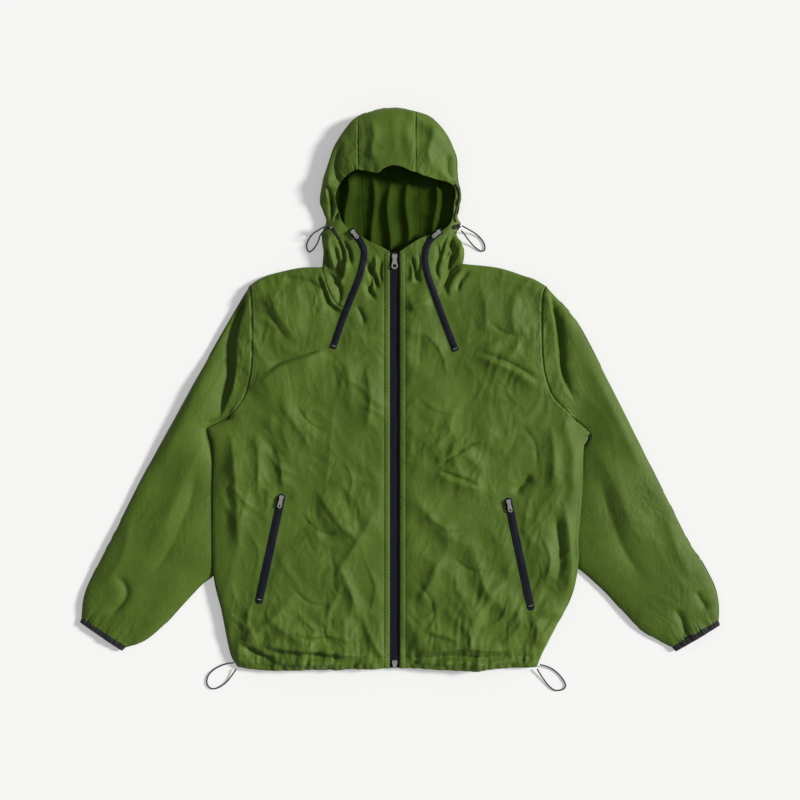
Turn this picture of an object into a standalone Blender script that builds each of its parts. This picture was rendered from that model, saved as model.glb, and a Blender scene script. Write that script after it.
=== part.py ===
"""Hooded windbreaker jacket, laid flat on its back with the front up.

Lengths in the tables are millimetres; meshes are made in metres.  +Z is up from the surface,
+Y runs from the hem to the hood, +X is the wearer's left.  Every panel is a thin shell: an outer
skin with its own inner skin one cloth thickness inside it.  Two sheets lie on each other and
meet at rounded folds along the jacket's outline.
"""
import bpy
import bmesh
import math
import numpy as np
from mathutils import Vector
from mathutils.bvhtree import BVHTree

MM = 0.001
WALL = 1.5            # cloth wall
GAP = 0.3             # clearance between two sewn panels
LOFT = 17.0           # height of the laid body
SLEEVE_LOFT = 14.0
ROLL_TOP = 24.0       # reach of the fold on the upper sheet
ROLL_UNDER = 45.0     # reach of the fold on the lower sheet
ZIP_X = -9.3          # the front zip's line
ZIP_HALF = 8.6        # half of the width the fronts leave open
TAPE_UNDER = 4.0      # how far a zip tape reaches under its front
CORD_D = 2.4
CROWN_SHARE = 0.83    # how far up the lower crown seam the hood's side rows reach
NECK_ROOM = 0.6       # clearance of the hood's lower edge at the back neck seam

for old in list(bpy.data.objects):
    bpy.data.objects.remove(old, do_unlink=True)


def material(name, colour, rough, metal=0.0):
    mat = bpy.data.materials.new(name)
    mat.use_nodes = True
    shader = mat.node_tree.nodes["Principled BSDF"]
    shader.inputs["Base Color"].default_value = (*colour, 1.0)
    shader.inputs["Roughness"].default_value = rough
    shader.inputs["Metallic"].default_value = metal
    return mat


CLOTH = material("nylon_green", (0.085, 0.145, 0.030), 0.62)
TAPE = material("tape_black", (0.008, 0.008, 0.014), 0.6)
BINDING = material("binding_black", (0.010, 0.010, 0.012), 0.8)
CORD = material("cord_black", (0.010, 0.010, 0.012), 0.7)
METAL = material("zip_metal", (0.62, 0.60, 0.55), 0.3, 1.0)
PLASTIC = material("lock_black", (0.014, 0.014, 0.016), 0.45)

# ------------------------------------------------------------------ tables
# side seam, hem to underarm: x, y, height of the fold
SIDE = {
    "right": [(-284, -487, 6), (-297, -462, 8), (-312, -389, 11), (-327, -317, 11),
              (-329, -194, 11), (-327, -107, 11), (-333, -84, 10), (-338, -68, 9)],
    "left": [(239, -486, 6), (261, -437, 8), (299, -365, 11), (312, -306, 11),
             (312, -263, 11), (319, -191, 11), (322, -103, 11), (333, -76, 9.5)],
}
# folded flap of cloth at the underarm, side seam to armhole: x, y, height of the fold
FLAP = {
    "right": [(-338, -68, 9), (-318, -58, 8.7), (-298, -48, 8.5)],
    "left": [(333, -76, 9.5), (322, -66, 9), (311, -57, 8.7)],
}
# armhole, underarm to shoulder: x, y
ARMHOLE = {
    "right": [(-298, -48), (-271, -12), (-259, 40), (-258, 103), (-259, 160), (-262, 182)],
    "left": [(311, -57), (285, -33), (264, -8), (250, 38), (247, 103), (248, 160), (255, 180)],
}
# shoulder seam, shoulder point to neck point: x, y, height of the fold
SHOULDER = {
    "right": [(-262, 182, 8), (-245, 193, 8), (-225, 201, 8), (-175, 212, 9), (-136, 213, 11)],
    "left": [(255, 180, 8), (240, 189, 8), (220, 197, 8), (172, 212, 9), (110, 219, 11)],
}
# neck seam on the upper sheet, neck point to the vent zip: x, y
NECK = {
    "right": [(-136, 213), (-130, 188), (-114, 152), (-93, 140)],
    "left": [(110, 219), (92, 206), (77, 180), (59, 168)],
}
# the line of the vent zip, carried down to the hem: x, y, height of the cloth
VENT = {
    "right": [(-132, -489, 11), (-131, -462, 15.5), (-130, -300, 17), (-128, -110, 17),
              (-122, 30, 17), (-116, 76, 17.2), (-101, 119, 18), (-93, 140, 19),
              (-86, 157, 20.5), (-70, 197, 24), (-62, 235, 27), (-67, 253, 26.5), (-80, 270, 25)],
    "left": [(114, -489, 11), (114, -462, 15.5), (113, -300, 17), (111, -110, 17),
             (105, 30, 17), (95, 76, 17.2), (77, 119, 18), (59, 168, 20.5),
             (54, 184, 22), (46, 208, 24.5), (44, 235, 27), (50, 255, 26.5), (67, 271, 24)],
}
JOIN_ROW = 7          # the VENT row where the neck seam meets it; row 3 is level with the underarm
# the front edge beside the zip: y, height of the cloth
FRONT_EDGE = [(-488, 14.5), (-462, 16.4), (-300, 17.5), (-60, 17.5), (30, 17.5), (90, 18), (150, 20.5),
              (200, 25), (238, 29)]
# free edge of the collar, vent zip to front zip: x, y
COLLAR = {
    "right": [(-80, 270), (-66, 264), (-50, 255), (-32, 247), (-18, 239)],
    "left": [(67, 271), (54, 269), (37, 263), (15, 250), (-0.7, 239)],
}
HEM = {
    "right": [(-18, -488), (-75, -489), (-132, -489), (-226, -492), (-284, -487)],
    "left": [(-0.7, -488), (60, -489), (114, -489), (185, -488), (239, -486)],
}
# sleeve sections, armhole to cuff: outer fold x, y, inner fold x, y, inner fold height
SLEEVE = {
    "right": [(-262, 182, -298, -48, 8.5), (-313, 95, -319, -56.5, 7.5), (-370, -7, -340, -66.5, 6.0),
              (-424, -105, -341, -84, 4.0), (-447, -147, -334, -104, 2.6), (-463, -178, -325, -132, 2.2),
              (-478, -208, -323, -170, 2.2), (-497, -246, -323, -214, 2.2), (-520, -290, -322, -268, 2.2),
              (-540, -330, -325, -317, 2.6), (-550, -353, -351, -344, 4.5), (-555, -372, -380, -377, 5.0),
              (-556.5, -386, -413, -413, 5.0), (-557, -394, -447, -441, 5.0),
              (-557.5, -400, -480, -452, 5.0)],
    "left": [(255, 180, 311, -57, 8.7), (310, 117, 324, -65.5, 7.5), (365, 13, 336, -76, 6.0),
             (415, -87, 335, -92, 4.0), (440, -137, 326.5, -110, 2.6), (458, -173, 317, -136, 2.2),
             (474, -204, 313.5, -170, 2.2), (490, -236, 311, -208, 2.2), (508, -271, 305.5, -256, 2.2),
             (527, -299, 309, -303, 2.6), (541, -324, 333, -329, 4.5), (551, -345, 361, -357, 5.0),
             (556.5, -366, 390, -389, 5.0), (558.5, -386, 425, -424, 5.0),
             (558, -405, 476, -452, 5.0)],
}
# far end of the cuff binding: outer fold x, y, inner fold x, y
CUFF_END = {"right": (-561, -408.5, -487, -459), "left": (561, -413.5, 483, -460)}
# the hood's outline, wearer's left neck point over the crown to the right one: x, y, fold height
HOOD_RIM = [(110, 219, 11), (112, 231, 12), (112, 244, 13), (106, 257, 13), (99, 270, 12.5),
            (103, 280, 12), (106, 288, 12), (101, 301, 12.5), (104, 320, 14), (107, 340, 15),
            (102, 360, 17), (100, 378, 18.5), (98, 406, 20), (83, 442, 21), (56, 473, 22), (27, 484, 22),
            (-20, 490, 22), (-73, 476, 22), (-93, 457, 22), (-114, 425, 21), (-124, 398, 19.5),
            (-132, 373, 18), (-137, 350, 16), (-140, 329, 15), (-134, 311, 13.5), (-129, 294, 12.5),
            (-133, 282, 12.5), (-137, 270, 13), (-136, 256, 13), (-134, 240, 12.5), (-135, 226, 12),
            (-136, 213, 11)]
# upper edge of the hood's side panels, matched row for row to their half of HOOD_RIM: x, y, height.
# It climbs the vent zip, passes the cord lock, follows the face opening and then the brow.
HOOD_EDGE = {
    "left": [(59, 168, 20.5), (54, 184, 22), (46, 208, 24.5), (44, 235, 27), (50, 255, 26.5),
             (67, 271, 24), (84, 284, 20), (91, 297, 18), (94, 318, 18), (97, 338, 18.5), (95, 352, 20),
             (84, 360, 24), (66, 364, 31), (46, 369, 36), (34, 373, 39), (27, 376, 40)],
    "right": [(-93, 140, 19), (-86, 157, 20.5), (-70, 197, 24), (-62, 235, 27), (-67, 253, 26.5),
              (-80, 270, 25), (-99, 289, 21), (-106, 306, 21), (-113, 329, 21.5), (-110, 346, 23),
              (-103, 361, 26), (-92, 372, 29), (-83, 378, 32), (-77, 380, 34), (-73, 381, 35)],
}
# brow of the centre strip, wearer's left seam to right seam: x, y, height
BROW = [(27, 376, 40), (17, 378, 42), (2, 385, 43.5), (-14, 387, 44), (-28, 382, 43), (-39, 374, 41),
        (-57, 378, 38), (-73, 381, 35)]
# lower seam between the centre strip and a side: x at the neck, x at the crown
UNDER_SEAM = {"left": (36, 27), "right": (-62, -73)}
BACK_NECK = [(110, 219), (80, 211), (36, 206), (-13, 205), (-62, 206), (-100, 208), (-136, 213)]


# ------------------------------------------------------------------ curves
def curve(rows, t):
    """Catmull-Rom through the rows; t counts rows, 0 to len(rows)-1."""
    pts = np.array(rows, float)
    t = np.clip(np.asarray(t, float), 0, len(pts) - 1)
    i = np.minimum(t.astype(int), len(pts) - 2)
    f = (t - i)[..., None]
    last = len(pts) - 1
    ends = 2 * pts[0] - pts[1], 2 * pts[-1] - pts[-2]
    padded = np.vstack([ends[0], pts, ends[1]])
    a, b, c, d = padded[i], padded[i + 1], padded[i + 2], padded[np.minimum(i + 3, last + 2)]
    return 0.5 * (2 * b + (c - a) * f + (2 * a - 5 * b + 4 * c - d) * f ** 2
                  + (3 * b - a - 3 * c + d) * f ** 3)


def even(rows, n):
    """n points at equal steps of length along the curve through the rows."""
    fine = curve(rows, np.linspace(0, len(rows) - 1, 24 * len(rows)))
    step = np.linalg.norm(np.diff(fine[:, :2], axis=0), axis=1)
    run = np.concatenate([[0], np.cumsum(step)])
    want = np.linspace(0, run[-1], n) if isinstance(n, int) else np.asarray(n) * run[-1]
    return np.stack([np.interp(want, run, fine[:, k]) for k in range(fine.shape[1])], axis=-1)


def table(rows, key, value=1):
    """Smooth value of a one-way table at key."""
    pts = np.array(rows, float)
    return np.interp(key, pts[:, 0], pts[:, value])


def smoothstep(t):
    t = np.clip(t, 0, 1)
    return t * t * (3 - 2 * t)


def roll(t):
    """Quarter round: 0 at the fold, 1 where the sheet has levelled out."""
    return np.sqrt(np.clip(1 - (1 - np.clip(t, 0, 1)) ** 2, 0, 1))


class Fold:
    """A folded edge in plan.  Gives each point its distance, the fold's height and the way in."""

    def __init__(self, rows, inward):
        self.pts = even(rows, 240)
        tangent = np.gradient(self.pts[:, :2], axis=0)
        normal = np.stack([-tangent[:, 1], tangent[:, 0]], axis=1)
        normal /= np.linalg.norm(normal, axis=1)[:, None]
        middle = self.pts[len(self.pts) // 2, :2]
        if np.dot(normal[len(self.pts) // 2], np.array(inward) - middle) < 0:
            normal = -normal
        self.normal = normal

    def at(self, xy):
        flat = np.asarray(xy, float).reshape(-1, 2)
        a, seg = self.pts[:-1, :2], np.diff(self.pts[:, :2], axis=0)
        rel = flat[:, None, :] - a[None]
        t = np.clip((rel * seg).sum(-1) / (seg ** 2).sum(-1), 0, 1)
        dist = np.linalg.norm(rel - t[..., None] * seg, axis=-1)
        k = dist.argmin(axis=1)
        rows = np.arange(len(flat))
        f = t[rows, k][:, None]
        way = self.normal[k] * (1 - f) + self.normal[k + 1] * f
        height = self.pts[k, 2] * (1 - f[:, 0]) + self.pts[k + 1, 2] * f[:, 0]
        shape = np.asarray(xy).shape[:-1]
        near = np.maximum(dist[rows, k] - 0.3, 0)
        return near.reshape(shape), height.reshape(shape), way.reshape(shape + (2,))


def skin(xy, low, high, sin, way, upper):
    """Outer and inner point of a sheet: low at the fold, high where it has levelled."""
    z = low + (high - low) * sin
    cos = np.sqrt(np.clip(1 - sin ** 2, 0, 1))
    way = way / np.maximum(np.linalg.norm(way, axis=-1, keepdims=True), 1e-9)
    outer = np.concatenate([xy, z[..., None]], axis=-1)
    push = np.concatenate([way * cos[..., None], (-sin if upper else sin)[..., None]], axis=-1)
    return outer, outer + push * WALL


# ------------------------------------------------------------------ body
FOLDS = []
for side in ("right", "left"):
    FOLDS.append(Fold(SIDE[side], (0, -200)))
    FOLDS.append(Fold(FLAP[side], (0, -200)))
    FOLDS.append(Fold(SHOULDER[side], (0, 0)))


def vent_height(xy):
    """Height the vent line lends to the cloth near it, and how near the point is."""
    flat = xy.reshape(-1, 2)
    best, height = np.full(len(flat), 1e9), np.full(len(flat), LOFT)
    for name in ("right", "left"):
        pts = even(VENT[name], 120)
        dist = np.linalg.norm(flat[:, None] - pts[None, :, :2], axis=-1)
        k = dist.argmin(axis=1)
        near = dist[np.arange(len(flat)), k]
        height = np.where(near < best, pts[k, 2], height)
        best = np.minimum(best, near)
    return height.reshape(xy.shape[:-1]), best.reshape(xy.shape[:-1])


def body(xy, upper):
    """Outer and inner skin of the laid body at plan points."""
    fields = [f.at(xy) for f in FOLDS]
    reach = ROLL_TOP if upper else ROLL_UNDER
    weights = [1 / (1e-3 + d) ** 4 for d, _, _ in fields]
    total = sum(weights)
    low = sum(w * h for w, (_, h, _) in zip(weights, fields)) / total + (GAP if upper else -GAP) / 2
    way = sum(w[..., None] * v for w, (_, _, v) in zip(weights, fields)) / total[..., None]
    near = np.min([d for d, _, _ in fields], axis=0)
    if upper:
        high, off = vent_height(xy)
        hem = np.interp(xy[..., 1], [-490, -462, -440], [11, 15.5, LOFT])
        high = hem + (high - hem) * (1 - smoothstep(off / 70.0))
    else:
        high = np.zeros(near.shape)
    return skin(xy, low, high, roll(near / reach), way, upper)


ACROSS = np.array([0, 0.012, 0.045, 0.10, 0.2, 0.36, 0.54, 0.70, 0.83, 0.92, 0.97, 1.0])
T_UNDER = np.array([0, 0.35, 0.65, 0.85, 0.96])
T_TOP = np.array([0, 0.03, 0.12, 0.35, 0.65, 1.0])
# body rows: 0-1 up the side seam, 1-2 along the underarm flap, 2-3 up the armhole
ROWS_BODY = np.concatenate([[0, 0.03, 0.065, 0.2, 0.4, 0.6, 0.8, 0.92], [1.0, 1.5], 3 - ACROSS[::-1]])
NECK_COL = 0.30       # the column of a front that ends at the neck point
COLS_FRONT = np.concatenate([NECK_COL * (1 - T_TOP[::-1]),
                             NECK_COL + (1 - NECK_COL) * np.array([0.18, 0.42, 0.65, 0.82, 0.92, 0.975, 1.0])])
BACK_COL = 0.45
COLS_BACK = np.concatenate([[0], BACK_COL * (0.4 + 0.6 * T_UNDER), [BACK_COL],
                            BACK_COL + (1 - BACK_COL) * np.array([0.3, 0.6, 0.8, 0.93, 0.985, 1.0])])


def by_part(value, parts):
    """Point at a row value that counts through consecutive paths, one unit each."""
    k = min(int(value), len(parts) - 1)
    return even(parts[k], [value - k])[0]


def seam_line(side, rows):
    parts = [np.array(SIDE[side])[:, :2], np.array(FLAP[side])[:, :2], np.array(ARMHOLE[side])]
    return np.array([by_part(v, parts) for v in rows])


def vent_line(side, rows):
    """The vent line at body rows: hem to underarm level, then on to the neck seam."""
    low, high = np.array(VENT[side][:4]), np.array(VENT[side][3:JOIN_ROW + 1])
    share = np.interp(rows, [1, 2, 3], [0, 0.06, 1])
    return np.where(rows[:, None] <= 1, even(low, np.clip(rows, 0, 1)), even(high, share))[:, :2]


def coons(left, right, bottom, top, u, v):
    u, v = u[None, :, None], v[:, None, None]
    return ((1 - u) * left[:, None] + u * right[:, None] + (1 - v) * bottom[None] + v * top[None]
            - (1 - u) * (1 - v) * bottom[0] - u * (1 - v) * bottom[-1]
            - (1 - u) * v * top[0] - u * v * top[-1])


def half_body(side, rows, cols, line, neck, corner):
    """Plan of a body panel's half, from an inner line to the side, armhole, neck and shoulder."""
    shoulder = np.array(SHOULDER[side])[::-1, :2]
    top = np.array([even(neck, [c / corner])[0] if c <= corner
                    else even(shoulder, [(c - corner) / (1 - corner)])[0] for c in cols])
    hem = np.array([hem_point(side, line[0, 0], s) for s in cols])
    hem[0] = line[0]
    return coons(line, seam_line(side, rows), hem, top, cols, rows / rows[-1])


def hem_point(side, x_from, s):
    path = even(HEM[side], 200)
    x = x_from + (path[-1, 0] - x_from) * s
    order = np.argsort(path[:, 0])
    return np.array([x, np.interp(x, path[order, 0], path[order, 1])])


def inset(pair, amount, edges):
    """Draw the named edges of a sheet in by the seam clearance, both skins alike."""
    outer, inner = pair[0].copy(), pair[1].copy()
    for row, nxt, axis in edges:
        take, step = [slice(None)] * 2, [slice(None)] * 2
        take[axis], step[axis] = row, nxt
        move = outer[tuple(step)] - outer[tuple(take)]
        size = np.maximum(np.linalg.norm(move, axis=-1, keepdims=True), 1e-6)
        move = move / size * np.minimum(amount, size * 0.4)
        outer[tuple(take)] += move
        inner[tuple(take)] += move
    return outer, inner


def front(side, rows=ROWS_BODY, cols=COLS_FRONT, tall=5, wide=4):
    """Outer and inner grids of a front: the block beside the zip and the block beside the arm."""
    neck = np.array(NECK[side])[::-1]
    block = half_body(side, rows, cols, vent_line(side, rows), neck, NECK_COL)
    edge_x = ZIP_X + (ZIP_HALF if side == "left" else -ZIP_HALF)
    climb = np.linspace(0, 1, tall + 1)[1:]
    rise = curve(VENT[side], JOIN_ROW + climb * (len(VENT[side]) - 1 - JOIN_ROW))
    up = rise[:, :2]
    outline = np.vstack([block[:, 0], up])
    collar = even(np.array(COLLAR[side])[::-1], np.linspace(0, 1, wide + 1))
    y_join = outline[len(rows) - 1, 1]
    y_edge = np.concatenate([block[:, 0, 1], np.interp(climb, [0, 1], [y_join, collar[0, 1]])])
    y_edge[0] = -488
    s = np.linspace(0, 1, wide + 1)
    edge = np.stack([np.full(len(y_edge), edge_x), y_edge], axis=1)
    near = edge[:, None] * (1 - s)[None, :, None] + outline[:, None] * s[None, :, None]
    near[-1] = collar
    near[-1, -1] = outline[-1]
    lift = (s * (1 - s))[None, :, None]
    chord = near[-1] - (edge[-1] * (1 - s)[:, None] + outline[-1] * s[:, None])
    share = smoothstep(np.concatenate([np.zeros(len(rows)), climb]))
    near[:-1] += share[:-1, None, None] * chord[None] * np.minimum(lift * 8, 1)
    z_edge = table(FRONT_EDGE, near[:, 0, 1])
    z_line = np.concatenate([body(block[:, 0], True)[0][:, 2], rise[:, 2]])
    z = z_edge[:, None] * (1 - s) + z_line[:, None] * s
    outer = np.concatenate([near, z[..., None]], axis=-1)
    inner = outer - np.array([0, 0, WALL])
    drawn = inset((outer, inner), GAP / 2, [(-1, -2, 1)])
    for plain, moved in zip((outer, inner), drawn):
        moved[:len(rows) - 1, -1] = plain[:len(rows) - 1, -1]
    outer, inner = drawn
    wing_outer, wing_inner = inset(body(block, True), GAP / 2, [(-1, -2, 0), (-1, -2, 1)])
    wing_outer[:, 0] = outer[:len(rows), -1]
    wing_inner[:, 0] = inner[:len(rows), -1]
    return (outer, inner), (wing_outer, wing_inner)


def back(rows=ROWS_BODY, cols=COLS_BACK):
    """The back panel: two halves that meet on the centre line, flat on the surface."""
    blocks = []
    for side, neck in (("left", BACK_NECK[3::-1]), ("right", BACK_NECK[3:])):
        centre = np.stack([np.full(len(rows), -13.0), np.interp(rows, [0, 1, 2, 3], [-489, -110, -92, 205])], 1)
        grid = half_body(side, rows, cols, centre, np.array(neck), BACK_COL)
        outer, inner = inset(body(grid, False), GAP / 2, [(-1, -2, 0), (-1, -2, 1)])
        outer[:, 0, 0] = inner[:, 0, 0] = -13.0
        blocks.append((outer, inner))
    return blocks


# ------------------------------------------------------------------ sleeves
ALONG = np.array([0, 0.4, 1.0, 1.6, 2.2, 2.9, 3.8, 5.0, 6.8, 8.6, 9.5, 10.4, 11.4, 12.6, 13.4, 14.0])


def sleeve_plan(side, along, across):
    rows = curve(SLEEVE[side], along)
    a, b = rows[:, None, 0:2], rows[:, None, 2:4]
    s = across[None, :, None]
    grid = a * (1 - s) + b * s
    arm = even(np.array(ARMHOLE[side])[::-1], across)
    straight = arm[0] * (1 - across)[:, None] + arm[-1] * across[:, None]
    fade = 1 - smoothstep(along[:, None] / (0.7 + 3.3 * (1 - across ** 5))[None])
    return grid + (arm - straight)[None] * fade[..., None]


def sleeve(side, along=ALONG, across=ACROSS):
    """Upper and lower grids of a sleeve and the two folds between them, as one closed tube."""
    grid = sleeve_plan(side, along, across)
    rows = np.array(SLEEVE[side])
    heights = np.interp(np.arange(len(rows)), [0, 3, 11, 14], [8, 7, 6, 5.2])
    centre = (rows[7, :2] + rows[7, 2:4]) / 2
    outside = Fold(np.column_stack([rows[:, :2], heights]), centre)
    inside = Fold(rows[:, 2:5], centre)
    dist_o, low_o, way_o = outside.at(grid)
    dist_i, low_i, way_i = inside.at(grid)
    arm = np.array([(p[0], p[1]) for p in even(np.array(ARMHOLE[side])[::-1], across)])
    loft = np.interp(along, [0, 3, 11, 13, 14], [LOFT, SLEEVE_LOFT, SLEEVE_LOFT, 12, 10.5])
    nose = np.interp(along, [0, 10, 14], [1, 1, 0.6])[:, None]
    skins = []
    for upper in (True, False):
        reach_o = (ROLL_TOP if upper else 30.0) * nose
        reach_i = (ROLL_UNDER if upper else 14.0) * nose
        sin_o, sin_i = roll(dist_o / reach_o), roll(dist_i / reach_i)
        sin = sin_o * sin_i
        near_o = (dist_o / reach_o < dist_i / reach_i)[..., None]
        way = np.where(near_o, way_o, way_i)
        share = smoothstep(np.broadcast_to(across[None, :], dist_o.shape))
        low = low_o * (1 - share) + low_i * share
        high = np.broadcast_to(loft[:, None], dist_o.shape) if upper else np.zeros(dist_o.shape)
        own = skin(grid, low, high, sin, way, upper)
        at_arm = body(arm, upper)
        step = np.linalg.norm(grid - grid[:1], axis=-1)
        fade = (1 - smoothstep(step / (8 + 37 * np.clip(dist_i / 40, 0, 1))))[..., None]
        follow = fade * (1 - smoothstep((across - 0.3) / 0.4))[None, :, None]
        seam = [np.concatenate([grid, np.broadcast_to(p[None, :, 2:], grid.shape[:2] + (1,))], -1)
                for p in at_arm]
        lean = at_arm[1] - at_arm[0]
        outer = own[0] * (1 - fade) + seam[0] * fade
        inner = outer + (own[1] - own[0]) * (1 - follow) + lean[None] * follow
        skins.append((outer, inner))
    upper, lower = skins
    for k in (0, -1):
        middle = (upper[0][:, k] + lower[0][:, k]) / 2
        inner = (upper[1][:, k] + lower[1][:, k]) / 2
        for s in (upper, lower):
            s[0][:, k] = middle
            s[1][:, k] = inner
    return upper, lower


def away(grid, amount, first=True):
    """Move the first (or last) row of a tube along it by the seam clearance."""
    outer, inner = grid
    k, n = (0, 1) if first else (-1, -2)
    step = outer[n] - outer[k]
    step = step / np.maximum(np.linalg.norm(step, axis=-1, keepdims=True), 1e-6) * amount
    outer, inner = outer.copy(), inner.copy()
    outer[k] += step
    inner[k] += step
    return outer, inner


def cuff(side, across=ACROSS):
    """Elastic binding that carries the sleeve's end on."""
    upper, lower = sleeve(side, ALONG, across)
    ends = CUFF_END[side]
    out = []
    for outer, inner in (upper, lower):
        start, start_in = outer[-1], inner[-1]
        far = start.copy()
        s = across[:, None]
        far[:, :2] = np.array(ends[:2]) * (1 - s) + np.array(ends[2:]) * s
        far[:, 2] = 5.1 + (start[:, 2] - 5.1) * 0.86
        far_in = far + (start_in - start)
        step = (far - start) / np.linalg.norm(far - start, axis=-1, keepdims=True)
        o = np.stack([start + step * GAP, (start + far) / 2 + [0, 0, 0.0], far])
        i = np.stack([start_in + step * GAP, (start_in + far_in) / 2, far_in])
        out.append((o, i))
    return out


# ------------------------------------------------------------------ hood
RIM = Fold(HOOD_RIM, (-15, 350))
RIM_ROWS = {"left": HOOD_RIM[:16], "right": HOOD_RIM[:16:-1]}


def hood_side(side, rows=None, t_under=T_UNDER, t_top=T_TOP):
    """A side panel from the lower seam, round the outline fold, to the face edge."""
    rim_rows, edge_rows = RIM_ROWS[side], HOOD_EDGE[side]
    count = len(edge_rows)
    if rows is None:
        rows = np.arange(count)
    rim, edge = curve(rim_rows, rows), curve(edge_rows, rows)
    x_neck, x_crown = UNDER_SEAM[side]
    f = rows / (count - 1)
    y_under = 206 + (rim[-1, 1] - 206) * CROWN_SHARE * f
    lean = (y_under - 206) / (rim[-1, 1] - 206)
    under = np.stack([x_neck + (rim[-1, 0] - x_neck) * lean, y_under], axis=1)
    neck = np.array(BACK_NECK)
    neck = neck[2::-1] if side == "left" else neck[4:]
    back_neck = even(neck, t_under)
    low_line = (back_neck - (under[0] * (1 - t_under)[:, None] + rim[0, :2] * t_under[:, None]))
    seam = even(NECK[side], t_top)
    top_line = seam - (rim[0, :2] * (1 - t_top)[:, None] + edge[0, :2] * t_top[:, None])
    fade = (1 - smoothstep(rows / 3.0))[:, None, None]
    s, t = t_under[None, :, None], t_top[None, :, None]
    low = under[:, None] * (1 - s) + rim[:, None, :2] * s + low_line[None] * fade
    low[0, :, 1] += NECK_ROOM
    top = rim[:, None, :2] * (1 - t) + edge[:, None, :2] * t + top_line[None] * fade
    parts = []
    for grid, upper, ease in ((low, False, t_under), (top, True, t_top)):
        dist, fold, way = RIM.at(grid)
        if upper:
            rise = 0.62 + 0.38 * np.sin(ease * math.pi / 2)
            high = fold + (edge[:, None, 2] - fold) * rise[None]
            sin = roll(dist / 22.0)
            gain = np.maximum(sin[:, -1:], 0.35)
            sin = np.minimum(sin / gain, 1)
        else:
            high, sin = np.zeros(dist.shape), roll(dist / 34.0)
        own = skin(grid, fold, high, sin, way, upper)
        seam_skin = body(grid[0], upper)
        mix = (1 - smoothstep(rows / 2.2))[:, None, None]
        outer = own[0].copy()
        outer[..., 2:] = own[0][..., 2:] * (1 - mix) + seam_skin[0][None, :, 2:] * mix
        parts.append((outer, outer + own[1] - own[0]))
    low, top = parts
    low = inset(low, GAP / 2, [(0, 1, 1), (0, 1, 0)])
    plain = top
    top = inset(top, GAP / 2, [(0, 1, 0), (-1, -2, 1)])
    for a, b in zip(top, plain):
        a[rows > 5.01, -1] = b[rows > 5.01, -1]
    shift = GAP / 2 if side == "left" else -GAP / 2
    for grid in low + top:
        grid[-1, :, 0] += shift
    return tuple(np.concatenate([low[k], top[k]], axis=1) for k in (0, 1))


def hood_center(cols=np.linspace(0, 1, 7), t_under=T_UNDER, t_top=T_TOP):
    """The centre strip: along the surface, over the crown fold and back to the brow."""
    t_under = np.concatenate([[0, 0.4], CROWN_SHARE + (1 - CROWN_SHARE) * t_under])
    rim = curve(HOOD_RIM, 15 + 2 * cols)
    brow = even(BROW, cols)
    neck = even(BACK_NECK[2:5], cols)
    neck[:, 1] += NECK_ROOM
    s, t = t_under[:, None, None], t_top[:, None, None]
    low = neck[None, :, :2] * (1 - s) + rim[None, :, :2] * s
    top = rim[None, :, :2] * (1 - t) + brow[None, :, :2] * t
    parts = []
    for grid, upper, ease in ((low, False, t_under), (top, True, t_top)):
        dist, fold, way = RIM.at(grid)
        if upper:
            rise = 0.62 + 0.38 * np.sin(ease * math.pi / 2)
            high, sin = fold + (brow[None, :, 2] - fold) * rise[:, None], roll(dist / 22.0)
        else:
            high, sin = np.zeros(dist.shape), roll(dist / 34.0)
        outer, inner = skin(grid, fold, high, sin, way, upper)
        for g in (outer, inner):
            g[:, 0, 0] -= GAP / 2
            g[:, -1, 0] += GAP / 2
        parts.append((outer, inner))
    return tuple(np.concatenate([parts[0][k], parts[1][k]], axis=0) for k in (0, 1))


# ------------------------------------------------------------------ meshes
def add(name, verts, faces, mat, outward=True):
    mesh = bpy.data.meshes.new(name)
    mesh.from_pydata([tuple(v) for v in verts], [], faces)
    mesh.validate()
    obj = bpy.data.objects.new(name, mesh)
    bpy.context.scene.collection.objects.link(obj)
    mesh.materials.append(mat)
    bm = bmesh.new()
    bm.from_mesh(mesh)
    bmesh.ops.recalc_face_normals(bm, faces=bm.faces)
    if bm.calc_volume(signed=True) < 0:
        bmesh.ops.reverse_faces(bm, faces=bm.faces)
    bm.to_mesh(mesh)
    bm.free()
    for poly in mesh.polygons:
        poly.use_smooth = True
    return obj


def shell(name, blocks, mat):
    """One closed body from matched outer and inner grids that share their common edges."""
    index, outer, inner, faces = {}, [], [], []
    for block, flip in blocks:
        out, inn = block
        ids = np.zeros(out.shape[:2], int)
        for i in range(out.shape[0]):
            for j in range(out.shape[1]):
                key = tuple(np.round(out[i, j], 3))
                if key not in index:
                    index[key] = len(outer)
                    outer.append(out[i, j] * MM)
                    inner.append(inn[i, j] * MM)
                ids[i, j] = index[key]
        for i in range(out.shape[0] - 1):
            for j in range(out.shape[1] - 1):
                quad = [ids[i, j], ids[i, j + 1], ids[i + 1, j + 1], ids[i + 1, j]]
                quad = [v for k, v in enumerate(quad) if v != quad[k - 1]]
                if len(quad) >= 3:
                    faces.append(quad[::-1] if flip else quad)
    seen = {}
    for face in faces:
        for a, b in zip(face, face[1:] + face[:1]):
            seen[(a, b)] = seen.get((a, b), 0) + 1
    n = len(outer)
    rim = [(a, b, b + n, a + n) for (a, b) in seen if (b, a) not in seen]
    skins = faces + [[v + n for v in face[::-1]] for face in faces]
    return add(name, outer + inner, skins + [list(r)[::-1] for r in rim], mat)


def tube_blocks(upper, lower):
    """A sleeve's two sheets as blocks with opposite turning."""
    return [(upper, False), (lower, True)]


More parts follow.
